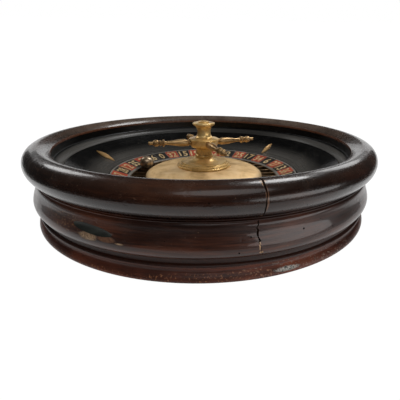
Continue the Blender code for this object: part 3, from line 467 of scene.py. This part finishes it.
def enamel(name, light, dark, wear):
    """Matt paint, mottled and dirty."""
    p = Paint(name, mirror=0.25)
    dirt_and_shade = p.noise(p.place, 240, 6, 0.7)
    cloud = p.noise(p.place, 55, 4, 0.6)
    colour = p.mix(p.step(cloud, 0.30, 0.70), light, dark)
    colour = p.mix(p.step(dirt_and_shade, 0.58, 0.74, 0, wear), colour, (0.26, 0.20, 0.14))
    return p.finish(colour, p.plus(0.34, p.times(dirt_and_shade, 0.3)), p.bump(dirt_and_shade, 0.25, 0.0003))


def aged_brass(name, light, mid, dark, smooth, rough, metallic=0.95, margin=None):
    """Brass with brown clouds of tarnish. With margin, it darkens from one distance from the axis to another."""
    p = Paint(name, metallic=metallic)
    space = p.turned()
    cloud = p.noise(p.place, 38, 6, 0.62, 0.8)
    spots = p.noise(p.place, 330, 5, 0.7)
    brushed = p.noise(p.stretch(space, 0.05, 3.4), 1, 3, 0.6)
    colour = p.ramp(cloud, (0.30, dark), (0.48, mid), (0.66, light))
    colour = p.mix(p.step(spots, 0.56, 0.74, 0, 0.5), colour, dark)
    colour = p.mix(p.step(p.cells(p.place, 260), 0.0, 0.12, 0.45, 0), colour, (0.08, 0.05, 0.025))
    if margin:
        edge = p.plus(p.out, p.times(p.minus(cloud, 0.5), 9))
        colour = p.mix(p.step(edge, *margin, 0, 0.55), colour, (0.20, 0.13, 0.06))
    roughness = p.plus(smooth, p.times(p.noise(p.place, 90, 5, 0.65), rough))
    return p.finish(colour, roughness, p.bump(p.plus(brushed, p.times(spots, 0.5)), 0.12, 0.0004))


def plain_metal(name, colour, smooth, rough):
    p = Paint(name, metallic=1.0)
    brushed = p.noise(p.place, 420, 4, 0.7)
    cloud = p.noise(p.place, 60, 4, 0.6)
    shade = p.mix(p.step(cloud, 0.35, 0.7, 0, 0.5), colour, tuple(v * 0.55 for v in colour))
    return p.finish(shade, p.plus(smooth, p.times(brushed, rough)), p.bump(brushed, 0.1, 0.0003))


def bare_wood(name, light, dark):
    """Unpolished wood with straight grain along X."""
    p = Paint(name)

    def streaks(along, across, *settings):
        made = p.node("ShaderNodeVectorMath", operation="MULTIPLY")
        p.feed(made.inputs[0], p.place)
        made.inputs[1].default_value = (along, across, across)
        return p.noise(made.outputs[0], 1, *settings)

    grain = streaks(6, 150, 6, 0.6, 0.5)
    broad = streaks(2, 22, 3, 0.5, 0.8)
    colour = p.mix(p.step(broad, 0.3, 0.7), light, dark)
    colour = p.mix(p.step(grain, 0.52, 0.72, 0, 0.6), colour, tuple(v * 0.45 for v in dark))
    return p.finish(colour, 0.62, p.bump(grain, 0.3, 0.0006))


# Shapes

def make(name, shape, materials, sharp=SHARP):
    mesh = bpy.data.meshes.new(name)
    shape.to_mesh(mesh)
    shape.free()
    for material in materials:
        mesh.materials.append(material)
    mesh.shade_smooth()
    mesh.set_sharp_from_angle(angle=math.radians(sharp))
    made = bpy.data.objects.new(name, mesh)
    bpy.context.scene.collection.objects.link(made)
    return made


def fit(made, body, nodes):
    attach(made, body)
    if nodes:
        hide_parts(*nodes)
    return made


def curve_through(points, steps=4):
    """A smooth curve through points of two numbers, with its ends kept."""
    ends = [points[0], *points, points[-1]]
    out = []
    for a, b, c, d in zip(ends, ends[1:], ends[2:], ends[3:]):
        for step in range(steps):
            t = step / steps
            out.append(tuple(
                0.5 * (2 * q + (r - p) * t + (2 * p - 5 * q + 4 * r - s) * t * t + (3 * q - p - 3 * r + s) * t ** 3)
                for p, q, r, s in zip(a, b, c, d)
            ))
    out.append(points[-1])
    return out


def arc(centre, radii, first, last, steps):
    out = []
    for step in range(steps + 1):
        angle = math.radians(first + (last - first) * step / steps)
        out.append((centre[0] + radii[0] * math.cos(angle), centre[1] + radii[1] * math.sin(angle)))
    return out


def around(angle, radius, height):
    angle = math.radians(angle)
    return Vector((radius * math.cos(angle), radius * math.sin(angle), height)) * MM


def lathe(section, facets):
    """A shape turned about Z from radii and heights. An outline that stays off the axis is closed on itself."""
    shape = bmesh.new()
    rings = []
    for radius, height in section:
        if radius < 1e-6:
            rings.append([shape.verts.new((0, 0, height * MM))])
            continue
        rings.append([
            shape.verts.new((radius * MM * math.cos(math.tau * n / facets),
                             radius * MM * math.sin(math.tau * n / facets), height * MM))
            for n in range(facets)
        ])
    pairs = list(zip(rings, rings[1:]))
    if len(rings[0]) > 1 and len(rings[-1]) > 1:
        pairs.append((rings[-1], rings[0]))
    for low, high in pairs:
        for n in range(facets):
            m = (n + 1) % facets
            if len(low) == 1:
                shape.faces.new((low[0], high[m], high[n]))
            elif len(high) == 1:
                shape.faces.new((low[n], low[m], high[0]))
            else:
                shape.faces.new((low[n], low[m], high[m], high[n]))
    bmesh.ops.recalc_face_normals(shape, faces=shape.faces)
    return shape


def turned_piece(name, section, facets, material, body, node):
    return fit(make(name, lathe(section, facets), [material]), body, [node])


def loft(shape, rows):
    """Faces between rows of vertices, each row a closed outline, with both ends shut."""
    for low, high in zip(rows, rows[1:]):
        for a in range(len(low)):
            b = (a + 1) % len(low)
            shape.faces.new((low[a], low[b], high[b], high[a]))
    shape.faces.new(rows[0][::-1])
    shape.faces.new(rows[-1])


def carve(target, cutter):
    """Cuts a shape out of a piece for good. The cut takes the cutter's material."""
    modifier = target.modifiers.new("carve", "BOOLEAN")
    modifier.operation = "DIFFERENCE"
    modifier.solver = "EXACT"
    modifier.material_mode = "TRANSFER"
    modifier.object = cutter
    settled = target.evaluated_get(bpy.context.evaluated_depsgraph_get())
    mesh = bpy.data.meshes.new_from_object(settled)
    target.modifiers.clear()
    target.data = mesh
    mesh.shade_smooth()
    mesh.set_sharp_from_angle(angle=math.radians(SHARP))
    bpy.data.objects.remove(cutter)


def crack(name, path, material):
    """A ragged wedge along a path of angle, radius, height, width and depth."""
    shape = bmesh.new()
    seed = random.Random(7)
    above = 2
    flare = 1.4
    rows = []
    for number, (angle, radius, height, width, depth) in enumerate(path):
        before = path[max(number - 1, 0)]
        after = path[min(number + 1, len(path) - 1)]
        run = Vector((after[1] - before[1], after[2] - before[2])).normalized()
        normal = Vector((-run.y, run.x))
        if height <= BELLY_TOP:
            normal = Vector((1, 0))
        elif normal.dot(Vector((radius - ROLL_INSIDE[0], height - ROLL_INSIDE[1]))) < 0:
            normal.negate()
        wobble = math.degrees((seed.random() - 0.5) * 1.9 / radius)
        half = math.degrees(width / 2 / radius)
        outside = (radius + normal.x * above, height + normal.y * above)
        inside = (radius - normal.x * depth, height - normal.y * depth)
        rows.append([
            shape.verts.new(around(angle + wobble - half * flare, *outside)),
            shape.verts.new(around(angle + wobble + half * flare, *outside)),
            shape.verts.new(around(angle + wobble, *inside)),
        ])
    loft(shape, rows)
    bmesh.ops.recalc_face_normals(shape, faces=shape.faces)
    return make(name, shape, [material])


def holes(name, places, material):
    """Small round holes that widen inward, each from an angle, a radius, a height and a width."""
    shape = bmesh.new()
    for angle, radius, height, width in places:
        matrix = (
            Matrix.Translation(around(angle, radius, height))
            @ Matrix.Rotation(math.radians(angle), 4, "Z")
            @ Matrix.Rotation(math.radians(90), 4, "Y")
        )
        bmesh.ops.create_cone(shape, cap_ends=True, segments=12, radius1=width / 2 * MM,
                              radius2=width / 2.6 * MM, depth=7 * MM, matrix=matrix)
    return make(name, shape, [material])


# The bowl

def roll_point(angle, half_wide, half_tall):
    """A point of the rim's outline, an oval that sinks a little towards the wheel's middle."""
    a = math.radians(angle)
    return (RIM_MIDDLE[0] + half_wide * math.cos(a),
            RIM_MIDDLE[1] + half_tall * math.sin(a) - RIM_FLAT * max(-math.cos(a), 0))


def slope_height(radius):
    return SLOPE_LOW + SLOPE_RISE * (max(radius - SLOPE_START, 0) / SLOPE_RUN) ** SLOPE_BEND


def make_rim(looks):
    roll = [roll_point(-72 + 211 * n / 44, 19.34, 18.36) for n in range(45)]
    rim = turned_piece("rim_roll", [*roll, (215.96, 90.8), (WOOD_BORE, 90.8), (WOOD_BORE, 66.5)],
                       WIDE_FACETS, looks["rim"], "bowl", "rim_ring")
    path = []
    seed = random.Random(3)
    for angle, climb, width, depth in (
        (-77.45, 112, 0.3, 1.0), (-77.30, 92, 0.7, 4), (-77.12, 72, 1.3, 6), (-76.98, 56, 1.2, 6),
        (-77.08, 40, 0.9, 6), (-76.92, 24, 0.8, 6), (-77.02, 10, 0.9, 6), (-77.22, -4, 0.8, 6),
        (-77.08, -18, 1.0, 6), (-77.18, -32, 0.8, 6), (-77.00, -46, 0.9, 6), (-76.85, -60, 0.8, 5),
        (-76.70, -74, 0.7, 4),
    ):
        path.append((angle, *roll_point(climb, 19.4, 18.4), width * (1.4 + 0.5 * seed.random()), depth))
    carve(rim, crack("rim_crack", path, looks["raw"]))
    places = ((-89.1, 248.5, 86.7, 1.7), (-66.8, 246.0, 75.9, 1.5), (-69.6, 246.5, 92.6, 1.4))
    carve(rim, holes("rim_holes", places, looks["hole"]))


def make_belly(looks):
    belly = curve_through([
        (236.6, 24.1), (238.9, 24.7), (242.2, 27.4), (244.4, 31.2), (245.0, 35.6), (244.1, 40.0),
        (242.3, 45.0), (240.6, 50.0), (239.6, 54.5), (239.1, 57.6), (238.4, 59.9), (237.0, 61.9),
    ], 5)
    belly += [(236.9, 62.2)] + arc((236.9, 63.3), (1.75, 0.9), -80, 80, 7) + [(236.9, 64.5)]
    belly += arc((236.9, 65.35), (1.0, 0.75), -80, 80, 6)
    belly += [(236.7, 66.2), (WOOD_BORE, 66.2), (WOOD_BORE, 24.1)]
    side = turned_piece("belly_swell", belly, WIDE_FACETS, looks["belly"], "bowl", "belly_ring")
    path = (
        (-77.45, 237.4, 62.6, 0.6, 3), (-77.55, 238.2, 60.4, 1.6, 5), (-77.80, 239.0, 58.2, 1.3, 6),
        (-77.94, 239.4, 55.7, 1.2, 6), (-77.78, 239.8, 53.0, 1.7, 6), (-77.90, 240.6, 50.2, 2.2, 6),
        (-77.70, 241.6, 47.0, 1.3, 6), (-77.45, 242.8, 43.6, 2.0, 6), (-77.62, 243.6, 41.6, 0.9, 4),
        (-77.30, 244.6, 38.2, 0.6, 3), (-77.20, 245.0, 35.4, 0.8, 3), (-76.95, 244.5, 32.0, 0.5, 3),
        (-76.60, 242.4, 28.2, 0.7, 3), (-76.70, 239.8, 25.4, 0.4, 2),
    )
    carve(side, crack("belly_crack", path, looks["raw"]))
    places = ((-79.6, 240.5, 47.4, 2.0), (-82.4, 243.2, 33.2, 2.2), (-55.9, 242.5, 40.6, 2.0),
              (-65.7, 240.5, 47.2, 2.4), (-99.0, 241.0, 45.0, 1.2), (-60.0, 239.0, 52.0, 1.3))
    carve(side, holes("belly_holes", places, looks["hole"]))

    gouge = bmesh.new()
    bmesh.ops.create_uvsphere(gouge, u_segments=48, v_segments=24, radius=MM)
    angle, radius, height = -118.1, 243.8, 47.2
    lean = Matrix.Translation(around(angle, radius, height)) @ Matrix.Rotation(math.radians(angle), 4, "Z")
    oval = Matrix.Rotation(math.radians(-3.5), 4, "X") @ Matrix.Diagonal((5.4, 33, 5.0, 1))
    bmesh.ops.transform(gouge, matrix=lean @ oval, verts=gouge.verts)
    carve(side, make("gouge", gouge, [looks["gouge"]]))


def make_foot(looks):
    foot = curve_through([
        (242.7, 0.0), (243.15, 0.95), (242.7, 3.1), (240.6, 5.95), (238.2, 7.85), (237.1, 9.5),
        (236.9, 11.2), (237.1, 12.9),
    ], 5)
    foot += arc((236.9, 15.95), (3.4, 2.5), -78, 78, 9) + [(236.9, 18.8), (236.6, 19.4), (236.6, 23.8)]
    foot += [(WOOD_BORE, 23.8), (WOOD_BORE, 15.0), (225.96, 15.0), (225.96, 0.0)]
    turned_piece("flared_foot", foot, WIDE_FACETS, looks["foot"], "bowl", "base_ring")


def make_lining(looks):
    """The wall and ledge that the ball runs on, and the slope below them."""
    track = [(216.56, 90.5)] + curve_through([
        (216.56, 82.4), (216.4, 80.3), (215.9, 79.3), (214.7, 78.7), (212.9, 78.4), (210.6, 77.85),
        (208.2, 76.7), (206.2, 74.9), (204.6, 72.9), (203.7, 71.6),
    ])
    track += [(203.56, 71.2), (203.56, 62.1), (LINING_R, 62.1), (LINING_R, 90.5)]
    turned_piece("ball_wall", track, WIDE_FACETS, looks["track"], "bowl", "ball_track")

    steps = 36
    radii = [SLOPE_START + SLOPE_RUN * n / steps for n in range(1, steps)]
    slope = [(SLOPE_START, 45.6), (148.25, 46.1), (148.8, 46.42), *((r, slope_height(r)) for r in radii)]
    slope += [(202.8, 70.9), (203.2, 70.7), (203.26, 61.8), (LINING_R, 61.8), (LINING_R, 15.3), (SLOPE_START, 15.3)]
    turned_piece("bowl_slope", slope, WIDE_FACETS, looks["slope"], "bowl", "apron")


def make_lozenges(looks):
    """Canoe-shaped lozenges with a ridge, laid along the slope."""
    outline = ((-1, -0.9), (-1, 0.12), (-0.62, 0.62), (-0.08, 0.98), (0.08, 0.98), (0.62, 0.62), (1, 0.12), (1, -0.9))
    steps = 20
    for number, (angle, share) in enumerate(LOZENGES, 1):
        middle = SLOPE_START + share * SLOPE_RUN
        level = [slope_height(r) for r in (middle - LOZENGE_LONG / 2, middle + LOZENGE_LONG / 2)]
        slope = math.atan2(level[1] - level[0], LOZENGE_LONG)
        shape = bmesh.new()
        rows = []
        for n in range(steps + 1):
            t = 2 * n / steps - 1
            swell = (1 - abs(t) ** 1.7) ** 1.1
            half, top = 4.5 * swell, 4.2 * swell ** 0.8
            rows.append([
                shape.verts.new((18.6 * t * MM, half * side * MM, (up * top if up > 0 else -3.4) * MM))
                for side, up in outline
            ])
        loft(shape, rows)
        bmesh.ops.remove_doubles(shape, verts=shape.verts, dist=1e-6)
        bmesh.ops.recalc_face_normals(shape, faces=shape.faces)
        matrix = (
            Matrix.Rotation(math.radians(angle), 4, "Z")
            @ Matrix.Translation((middle * MM, 0, sum(level) / 2 * MM))
            @ Matrix.Rotation(-slope, 4, "Y")
        )
        bmesh.ops.transform(shape, matrix=matrix, verts=shape.verts)
        made = make(f"lozenge_{number}", shape, [looks["gilt"]], 24)
        fit(made, "bowl", [f"deflector_{number}"])


# The wheelhead

def ring_height(radius):
    return RING_LOW + (radius - RING_INNER) * RING_RISE / RING_RUN


def make_number_ring(looks):
    """A sloped ring whose faces are cells of red and black between thin pale borders."""
    shape = bmesh.new()
    border, red, black = range(3)
    columns = []
    for number in range(CELLS):
        start = FIRST_CELL - (number - 0.5) * CELL
        kind = red if number % 2 else black
        stops = [0.0, CELL_LINE] + [CELL_LINE + (CELL - CELL_LINE) * n / 5 for n in range(1, 6)]
        for a, b in zip(stops, stops[1:]):
            columns.append((start - a, start - b, border if a == 0 else kind))
    outline = ((146.2, 44.3), (146.2, 46.1), (145.9, 46.2), (143.9, None), (121.6, None), (118.1, None),
               (RING_INNER, 37.1), (RING_INNER, 35.3))
    section = [(r, ring_height(r) if z is None else z) for r, z in outline]
    painted = 3
    rings = {}

    def column(angle):
        key = round(angle % 360, 5)
        if key not in rings:
            rings[key] = [shape.verts.new(around(angle, r, z)) for r, z in section]
        return rings[key]

    for left, right, kind in columns:
        a, b = column(left), column(right)
        for n in range(len(section)):
            m = (n + 1) % len(section)
            face = shape.faces.new((a[n], a[m], b[m], b[n]))
            face.material_index = kind if n == painted else border
    bmesh.ops.recalc_face_normals(shape, faces=shape.faces)
    ring = make("number_band", shape, [looks["border"], looks["red"], looks["black"]])
    fit(ring, "wheelhead", ["number_ring"])


def make_numerals(looks):
    """Gold numerals with their tops outward, raised a hair over the cells."""
    group = bmesh.new()
    tilt = math.atan2(RING_RISE, RING_RUN)
    thin, one_figure, two_figures = FIGURE_WIDE
    for number, value in enumerate(WHEEL_ORDER):
        words = bpy.data.curves.new("figure", "FONT")
        words.body = str(value)
        words.size = 1
        words.offset = 0.018
        words.extrude = 0.01
        words.resolution_u = 3
        holder = bpy.data.objects.new("figure", words)
        bpy.context.scene.collection.objects.link(holder)
        settled = holder.evaluated_get(bpy.context.evaluated_depsgraph_get())
        mesh = bpy.data.meshes.new_from_object(settled)
        xs = [v.co.x for v in mesh.vertices]
        ys = [v.co.y for v in mesh.vertices]
        width = thin if value == 1 else two_figures if value > 9 else one_figure
        before = len(group.verts)
        group.from_mesh(mesh)
        group.verts.ensure_lookup_table()
        turn = Matrix.Rotation(math.radians(FIRST_CELL - number * CELL - 90), 4, "Z")
        for vert in group.verts[before:]:
            across = (vert.co.x - (min(xs) + max(xs)) / 2) / (max(xs) - min(xs)) * width
            out = (vert.co.y - (min(ys) + max(ys)) / 2) / (max(ys) - min(ys)) * FIGURE_TALL
            lift = FIGURE_LIFT if vert.co.z > 0 else 0.0
            radius = FIGURE_MIDDLE + out * math.cos(tilt)
            across *= radius / FIGURE_TRUE_R
            flat = Vector((across, math.sqrt(radius ** 2 - across ** 2), ring_height(radius) + lift)) * MM
            vert.co = turn @ flat
        bpy.data.objects.remove(holder)
        bpy.data.meshes.remove(mesh)
    numerals = make("gold_numerals", group, [looks["gold"]])
    fit(numerals, "wheelhead", [])


def make_pockets(looks):
    """Round-topped blades in a hoop, over a dark floor."""
    shape = bmesh.new()
    tip = 93.1
    for number in range(CELLS):
        turn = Matrix.Rotation(math.radians(FIRST_CELL + (number + 0.5) * CELL), 4, "Z")
        rows = []
        for radius in (tip, 93.6, 100, 108, 116.2, 116.9):
            lower = 0.5 if radius == tip else 0.0
            outline = ((-0.6, PAN_TOP), (0.6, PAN_TOP), (0.6, 36.2 - lower), (0.42, 36.7 - lower),
                       (0, 36.95 - lower), (-0.42, 36.7 - lower), (-0.6, 36.2 - lower))
            rows.append([shape.verts.new(turn @ (Vector((radius, y, z)) * MM)) for y, z in outline])
        loft(shape, rows)
    hoop = lathe([(116.5, 28.3), (117.5, 28.3), (117.5, 36.8), (117.3, 37.0), (116.7, 37.0), (116.5, 36.8)],
                 WIDE_FACETS)
    loose = bpy.data.meshes.new("hoop")
    hoop.to_mesh(loose)
    hoop.free()
    shape.from_mesh(loose)
    bpy.data.meshes.remove(loose)
    bmesh.ops.recalc_face_normals(shape, faces=shape.faces)
    fit(make("fret_blades", shape, [looks["fret"]]), "wheelhead", ["fret_ring"])
    turned_piece("pocket_floor", [(86, 28.3), (116.2, 28.3), (116.2, 29.8), (86, 29.8)], WIDE_FACETS,
                 looks["pan"], "wheelhead", "pocket_pan")


def make_dome(looks):
    dome = [(DOME_R, PAN_TOP), (DOME_R, 38.8)]
    dome += curve_through([
        (DOME_R, 39.3), (91.8, 41.4), (88.9, 43.9), (84.0, 46.3), (76.2, 48.8), (63.5, 51.4), (52.0, 52.9),
        (44.0, 53.4),
    ])
    dome += [(13.0, 53.5), (13.0, 51.9), (44.0, 51.8), (63.5, 49.8), (82.0, 45.2), (91.2, 38.0), (91.2, PAN_TOP)]
    turned_piece("brass_dome", dome, WIDE_FACETS, looks["dome"], "wheelhead", "cone")


def make_turret(looks):
    """Five turned pieces on one rod, from the stepped foot on the dome to the crown."""
    def turret_piece(name, low, outline, high, node):
        section = [(TURRET_BORE, low), *outline, (TURRET_BORE, high)]
        return turned_piece(name, section, SLIM_FACETS, looks["turret"], "wheelhead", node)

    foot = [(42.0, 53.8), (42.3, 54.1)] + arc((41.6, 55.4), (0.7, 0.8), 0, 90, 4)
    foot += [(40.2, 56.3), (39.6, 56.7), (39.5, 57.2), (39.5, 58.2)] + arc((38.8, 58.2), (0.7, 0.6), 0, 90, 4)
    foot += [(36.7, 58.9), (36.0, 59.3), (35.9, 59.9)] + arc((35.2, 60.3), (0.7, 0.7), 0, 90, 4)
    foot += curve_through([(30.0, 61.2), (25.0, 61.7), (20.2, 62.9), (16.6, 64.8), (14.2, 66.2)])[:-1]
    foot += [(13.0, 66.7)] + arc((12.6, 69.2), (1.6, 2.3), -70, 70, 8) + [(12.7, 71.6)]
    turret_piece("turret_foot", 53.8, foot, 71.6, "turret_base")

    stem = [(12.9, 71.9)] + arc((12.9, 72.6), (0.6, 0.5), -80, 80, 5) + [(12.9, 73.2)]
    stem += [(12.85, 76), (12.9, 80.9)] + arc((12.9, 81.7), (0.65, 0.6), -80, 80, 5) + [(12.9, 82.6)]
    turret_piece("turret_column", 71.9, stem, 82.6, "turret_stem")

    drum = [(17.4, 82.9)]
    drum += curve_through([(18.8, 83.2), (20.4, 84.3), (21.4, 86.4), (22.0, 89.5), (22.4, 93.4)])
    drum += [(22.3, 93.9), (22.5, 94.2)] + arc((22.4, 95.1), (0.7, 0.75), -70, 75, 6)
    drum += [(20.5, 96.3), (17.0, 96.9), (14.2, 97.3), (13.7, 97.5)]
    hub = turret_piece("turret_drum", 82.9, drum, 97.5, "turret_hub")
    sockets = bmesh.new()
    for number in range(ARMS):
        place = arm_pose(number) @ Matrix.Translation((0, 0, (SOCKET_START + SOCKET_LONG / 2) * MM))
        bmesh.ops.create_cone(sockets, cap_ends=True, segments=32, radius1=SOCKET_R * MM, radius2=SOCKET_R * MM,
                              depth=SOCKET_LONG * MM, matrix=place)
    carve(hub, make("sockets", sockets, [looks["turret"]]))

    neck = [(13.4, 97.8)] + curve_through([
        (13.6, 98.1), (12.6, 99.0), (11.3, 100.6), (10.6, 102.8), (10.3, 105.6), (10.5, 109.0), (11.3, 112.0),
        (12.6, 114.3), (14.0, 115.6), (14.4, 115.9),
    ]) + [(14.4, 116.3)]
    turret_piece("turret_neck", 97.8, neck, 116.3, "turret_spool")

    crown = [(14.4, 116.6)] + arc((15.2, 118.5), (1.75, 1.85), -75, 85, 9)
    crown += [(13.0, 120.3), (8.6, 120.35), (8.2, 120.5), (8.2, 121.9)] + arc((7.7, 121.9), (0.5, 0.48), 0, 90, 3)
    crown += [(5.3, 122.35), (5.0, 122.2), (5.0, 121.2)]
    turret_piece("turret_crown", 116.6, crown, 121.2, "turret_cap")


def arm_pose(number):
    turn = Matrix.Rotation(math.radians(FIRST_ARM + 360 / ARMS * number), 4, "Z")
    lean = Matrix.Rotation(math.radians(90 - ARM_SAG[number]), 4, "Y")
    return Matrix.Translation((0, 0, ARM_HEIGHT * MM)) @ turn @ lean


def make_arms(looks):
    for number in range(ARMS):
        section = [(0.0, ARM_START + ARM_PROFILE[0][0])]
        section += [(max(r, 0), ARM_START + d) for d, r in curve_through(ARM_PROFILE, 2)]
        section[-1] = (0.0, ARM_END)
        shape = lathe(section, 40)
        bmesh.ops.transform(shape, matrix=arm_pose(number), verts=shape.verts)
        made = make(f"turned_arm_{number + 1}", shape, [looks["arm"]], 40)
        fit(made, "wheelhead", [f"arm_{number + 1}"])


def make_ball(looks):
    low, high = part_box("ball")
    centre = (Vector(low) + Vector(high)) / 2
    shape = bmesh.new()
    bmesh.ops.create_uvsphere(shape, u_segments=64, v_segments=40, radius=BALL_R * MM)
    bmesh.ops.translate(shape, verts=shape.verts, vec=centre)
    fit(make("brown_ball", shape, [looks["ball"]], 60), "ball", ["ball"])


def dress_nodes(looks):
    """Materials for the pieces whose shapes stay as they are."""
    kinds = {
        "bottom_board": "board", "wheelhead_disc": "board", "ring_bed": "matt_black", "bearing_bush": "turret",
    }
    steel_starts = ("board", "flange", "bush", "spindle", "thrust")
    for name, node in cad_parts.items():
        look = kinds.get(name)
        if look is None and (name.split("_")[0] in steel_starts or name == "turret_rod"):
            look = "steel"
        if look is None:
            continue
        for slot in node.material_slots:
            slot.link = "OBJECT"
            slot.material = looks[look]


def mix_looks():
    bare = ((0.055, 0.028, 0.014), (0.32, 0.21, 0.12))
    brown = ((0.060, 0.024, 0.011), (0.13, 0.058, 0.028))
    chip = ((0.20, 0.11, 0.055), (0.42, 0.26, 0.14))
    # Dark reddish colours for the painted shade in the recess between the belly and the foot.
    dirt_and_shade = ((0.014, 0.0035, 0.0014), (0.030, 0.0075, 0.003))
    filler = ((0.012, 0.011, 0.010), (0.50, 0.47, 0.42))
    gold = ((0.17, 0.090, 0.042), (0.05, 0.022, 0.010))
    orange = ((0.24, 0.095, 0.038), (0.07, 0.024, 0.010))
    wear_and_sheen = ((0.19, 0.135, 0.105), (0.05, 0.030, 0.022))
    all_round = 900.0
    rim_marks = (
        ("raw", chip, 55.0, 237.6, 3.4, 1.3, 0.55, "out"),
        ("raw", chip, 54.0, 240.5, 1.2, 2.0, 0.45, "out"),
        ("stain", brown, 55.6, 88.0, 1.6, 12.0, 0.9),
    )
    belly_marks = (
        ("raw", bare, -122.0, 39.2, 12.0, 3.8, 0.8),
        ("raw", brown, -99.0, 40.2, 10.0, 3.0, 0.5),
        ("raw", bare, -84.0, 38.0, 4.5, 0.9, 0.9),
        ("specks", gold, -160.0, 47.0, 36.0, 7.0, 1.2),
        ("stain", chip, 53.2, 39.0, 0.9, 4.5, 1.0),
        ("raw", chip, 55.0, 31.5, 2.2, 1.4, 0.9),
    )
    foot_marks = (
        # A dark band all round the recess under the belly's overhang: painted shade.
        ("stain", dirt_and_shade, 0.0, 20.5, all_round, 4.6, 0.3),
        ("specks", orange, 0.0, 1.2, all_round, 3.2, 1.0),
        ("specks", wear_and_sheen, 120.0, 7.0, 70.0, 5.5, 1.0),
        ("specks", orange, 20.0, 5.0, 60.0, 3.0, 1.2),
        ("raw", filler, 88.0, 4.8, 15.0, 1.9, 1.1),
    )
    return {
        "rim": polished_wood("rim_wood", 0.36, 0.16, (0.34, 0.33, 0.32), rim_marks, (215.6, 217.0)),
        "belly": polished_wood("belly_wood", 0.3, 0.25, (0.95, 0.84, 0.78), belly_marks),
        "foot": polished_wood("foot_wood", 0.05, 0.34, (1.45, 1.05, 0.90), foot_marks),
        "track": black_lacquer("track_lacquer", 211.5, 214.6, 0.80, 0.24),
        "slope": black_lacquer("slope_lacquer", 158.0, 188.0, 0.75, 0.12),
        "gilt": aged_brass("gilding", (0.54, 0.34, 0.14), (0.40, 0.23, 0.085), (0.16, 0.08, 0.03),
                           0.34, 0.2, metallic=0.5),
        "border": enamel("cell_border", (0.19, 0.175, 0.15), (0.10, 0.09, 0.075), 0.6),
        "red": enamel("cell_red", (0.34, 0.052, 0.020), (0.21, 0.032, 0.014), 0.5),
        "black": enamel("cell_black", (0.022, 0.020, 0.018), (0.010, 0.009, 0.008), 0.5),
        "gold": enamel("numeral_gold", (0.50, 0.37, 0.20), (0.36, 0.24, 0.11), 0.5),
        "fret": aged_brass("fret_metal", (0.24, 0.16, 0.09), (0.15, 0.09, 0.045), (0.05, 0.03, 0.015),
                           0.38, 0.2),
        "pan": enamel("pocket_black", (0.008, 0.007, 0.006), (0.004, 0.004, 0.004), 0.2),
        "dome": aged_brass("dome_brass", (0.95, 0.69, 0.38), (0.85, 0.58, 0.28), (0.58, 0.37, 0.155),
                           0.40, 0.18, metallic=0.5, margin=(82, 93)),
        "turret": aged_brass("turret_brass", (0.92, 0.66, 0.30), (0.74, 0.48, 0.17), (0.28, 0.15, 0.05),
                             0.24, 0.20, metallic=0.65),
        "arm": aged_brass("arm_brass", (0.62, 0.41, 0.20), (0.42, 0.26, 0.11), (0.14, 0.075, 0.03),
                          0.22, 0.24, metallic=0.75),
        "ball": aged_brass("ball_bronze", (0.56, 0.44, 0.31), (0.34, 0.25, 0.16), (0.08, 0.048, 0.026),
                           0.24, 0.16, metallic=0.75),
        "gouge": bare_wood("old_gouge", (0.030, 0.034, 0.026), (0.010, 0.012, 0.009)),
        # The crack's inner walls, darkened so the crack reads as a dark line: painted shade.
        "raw": bare_wood("crack_shade", (0.040, 0.018, 0.009), (0.008, 0.004, 0.003)),
        "hole": bare_wood("worm_hole", (0.008, 0.005, 0.004), (0.004, 0.003, 0.002)),
        "board": bare_wood("plain_board", (0.42, 0.29, 0.16), (0.30, 0.19, 0.10)),
        "matt_black": enamel("bed_black", (0.012, 0.011, 0.010), (0.007, 0.006, 0.006), 0.2),
        "steel": plain_metal("screw_steel", (0.42, 0.41, 0.39), 0.28, 0.2),
    }


place_camera()
lay_floor()
light_room()
looks = mix_looks()
for build in (make_rim, make_belly, make_foot, make_lining, make_lozenges, make_number_ring, make_numerals,
              make_pockets, make_dome, make_turret, make_arms, make_ball, dress_nodes):
    build(looks)


def plain(corners):
    return [[float(value) for value in corner] for corner in corners]
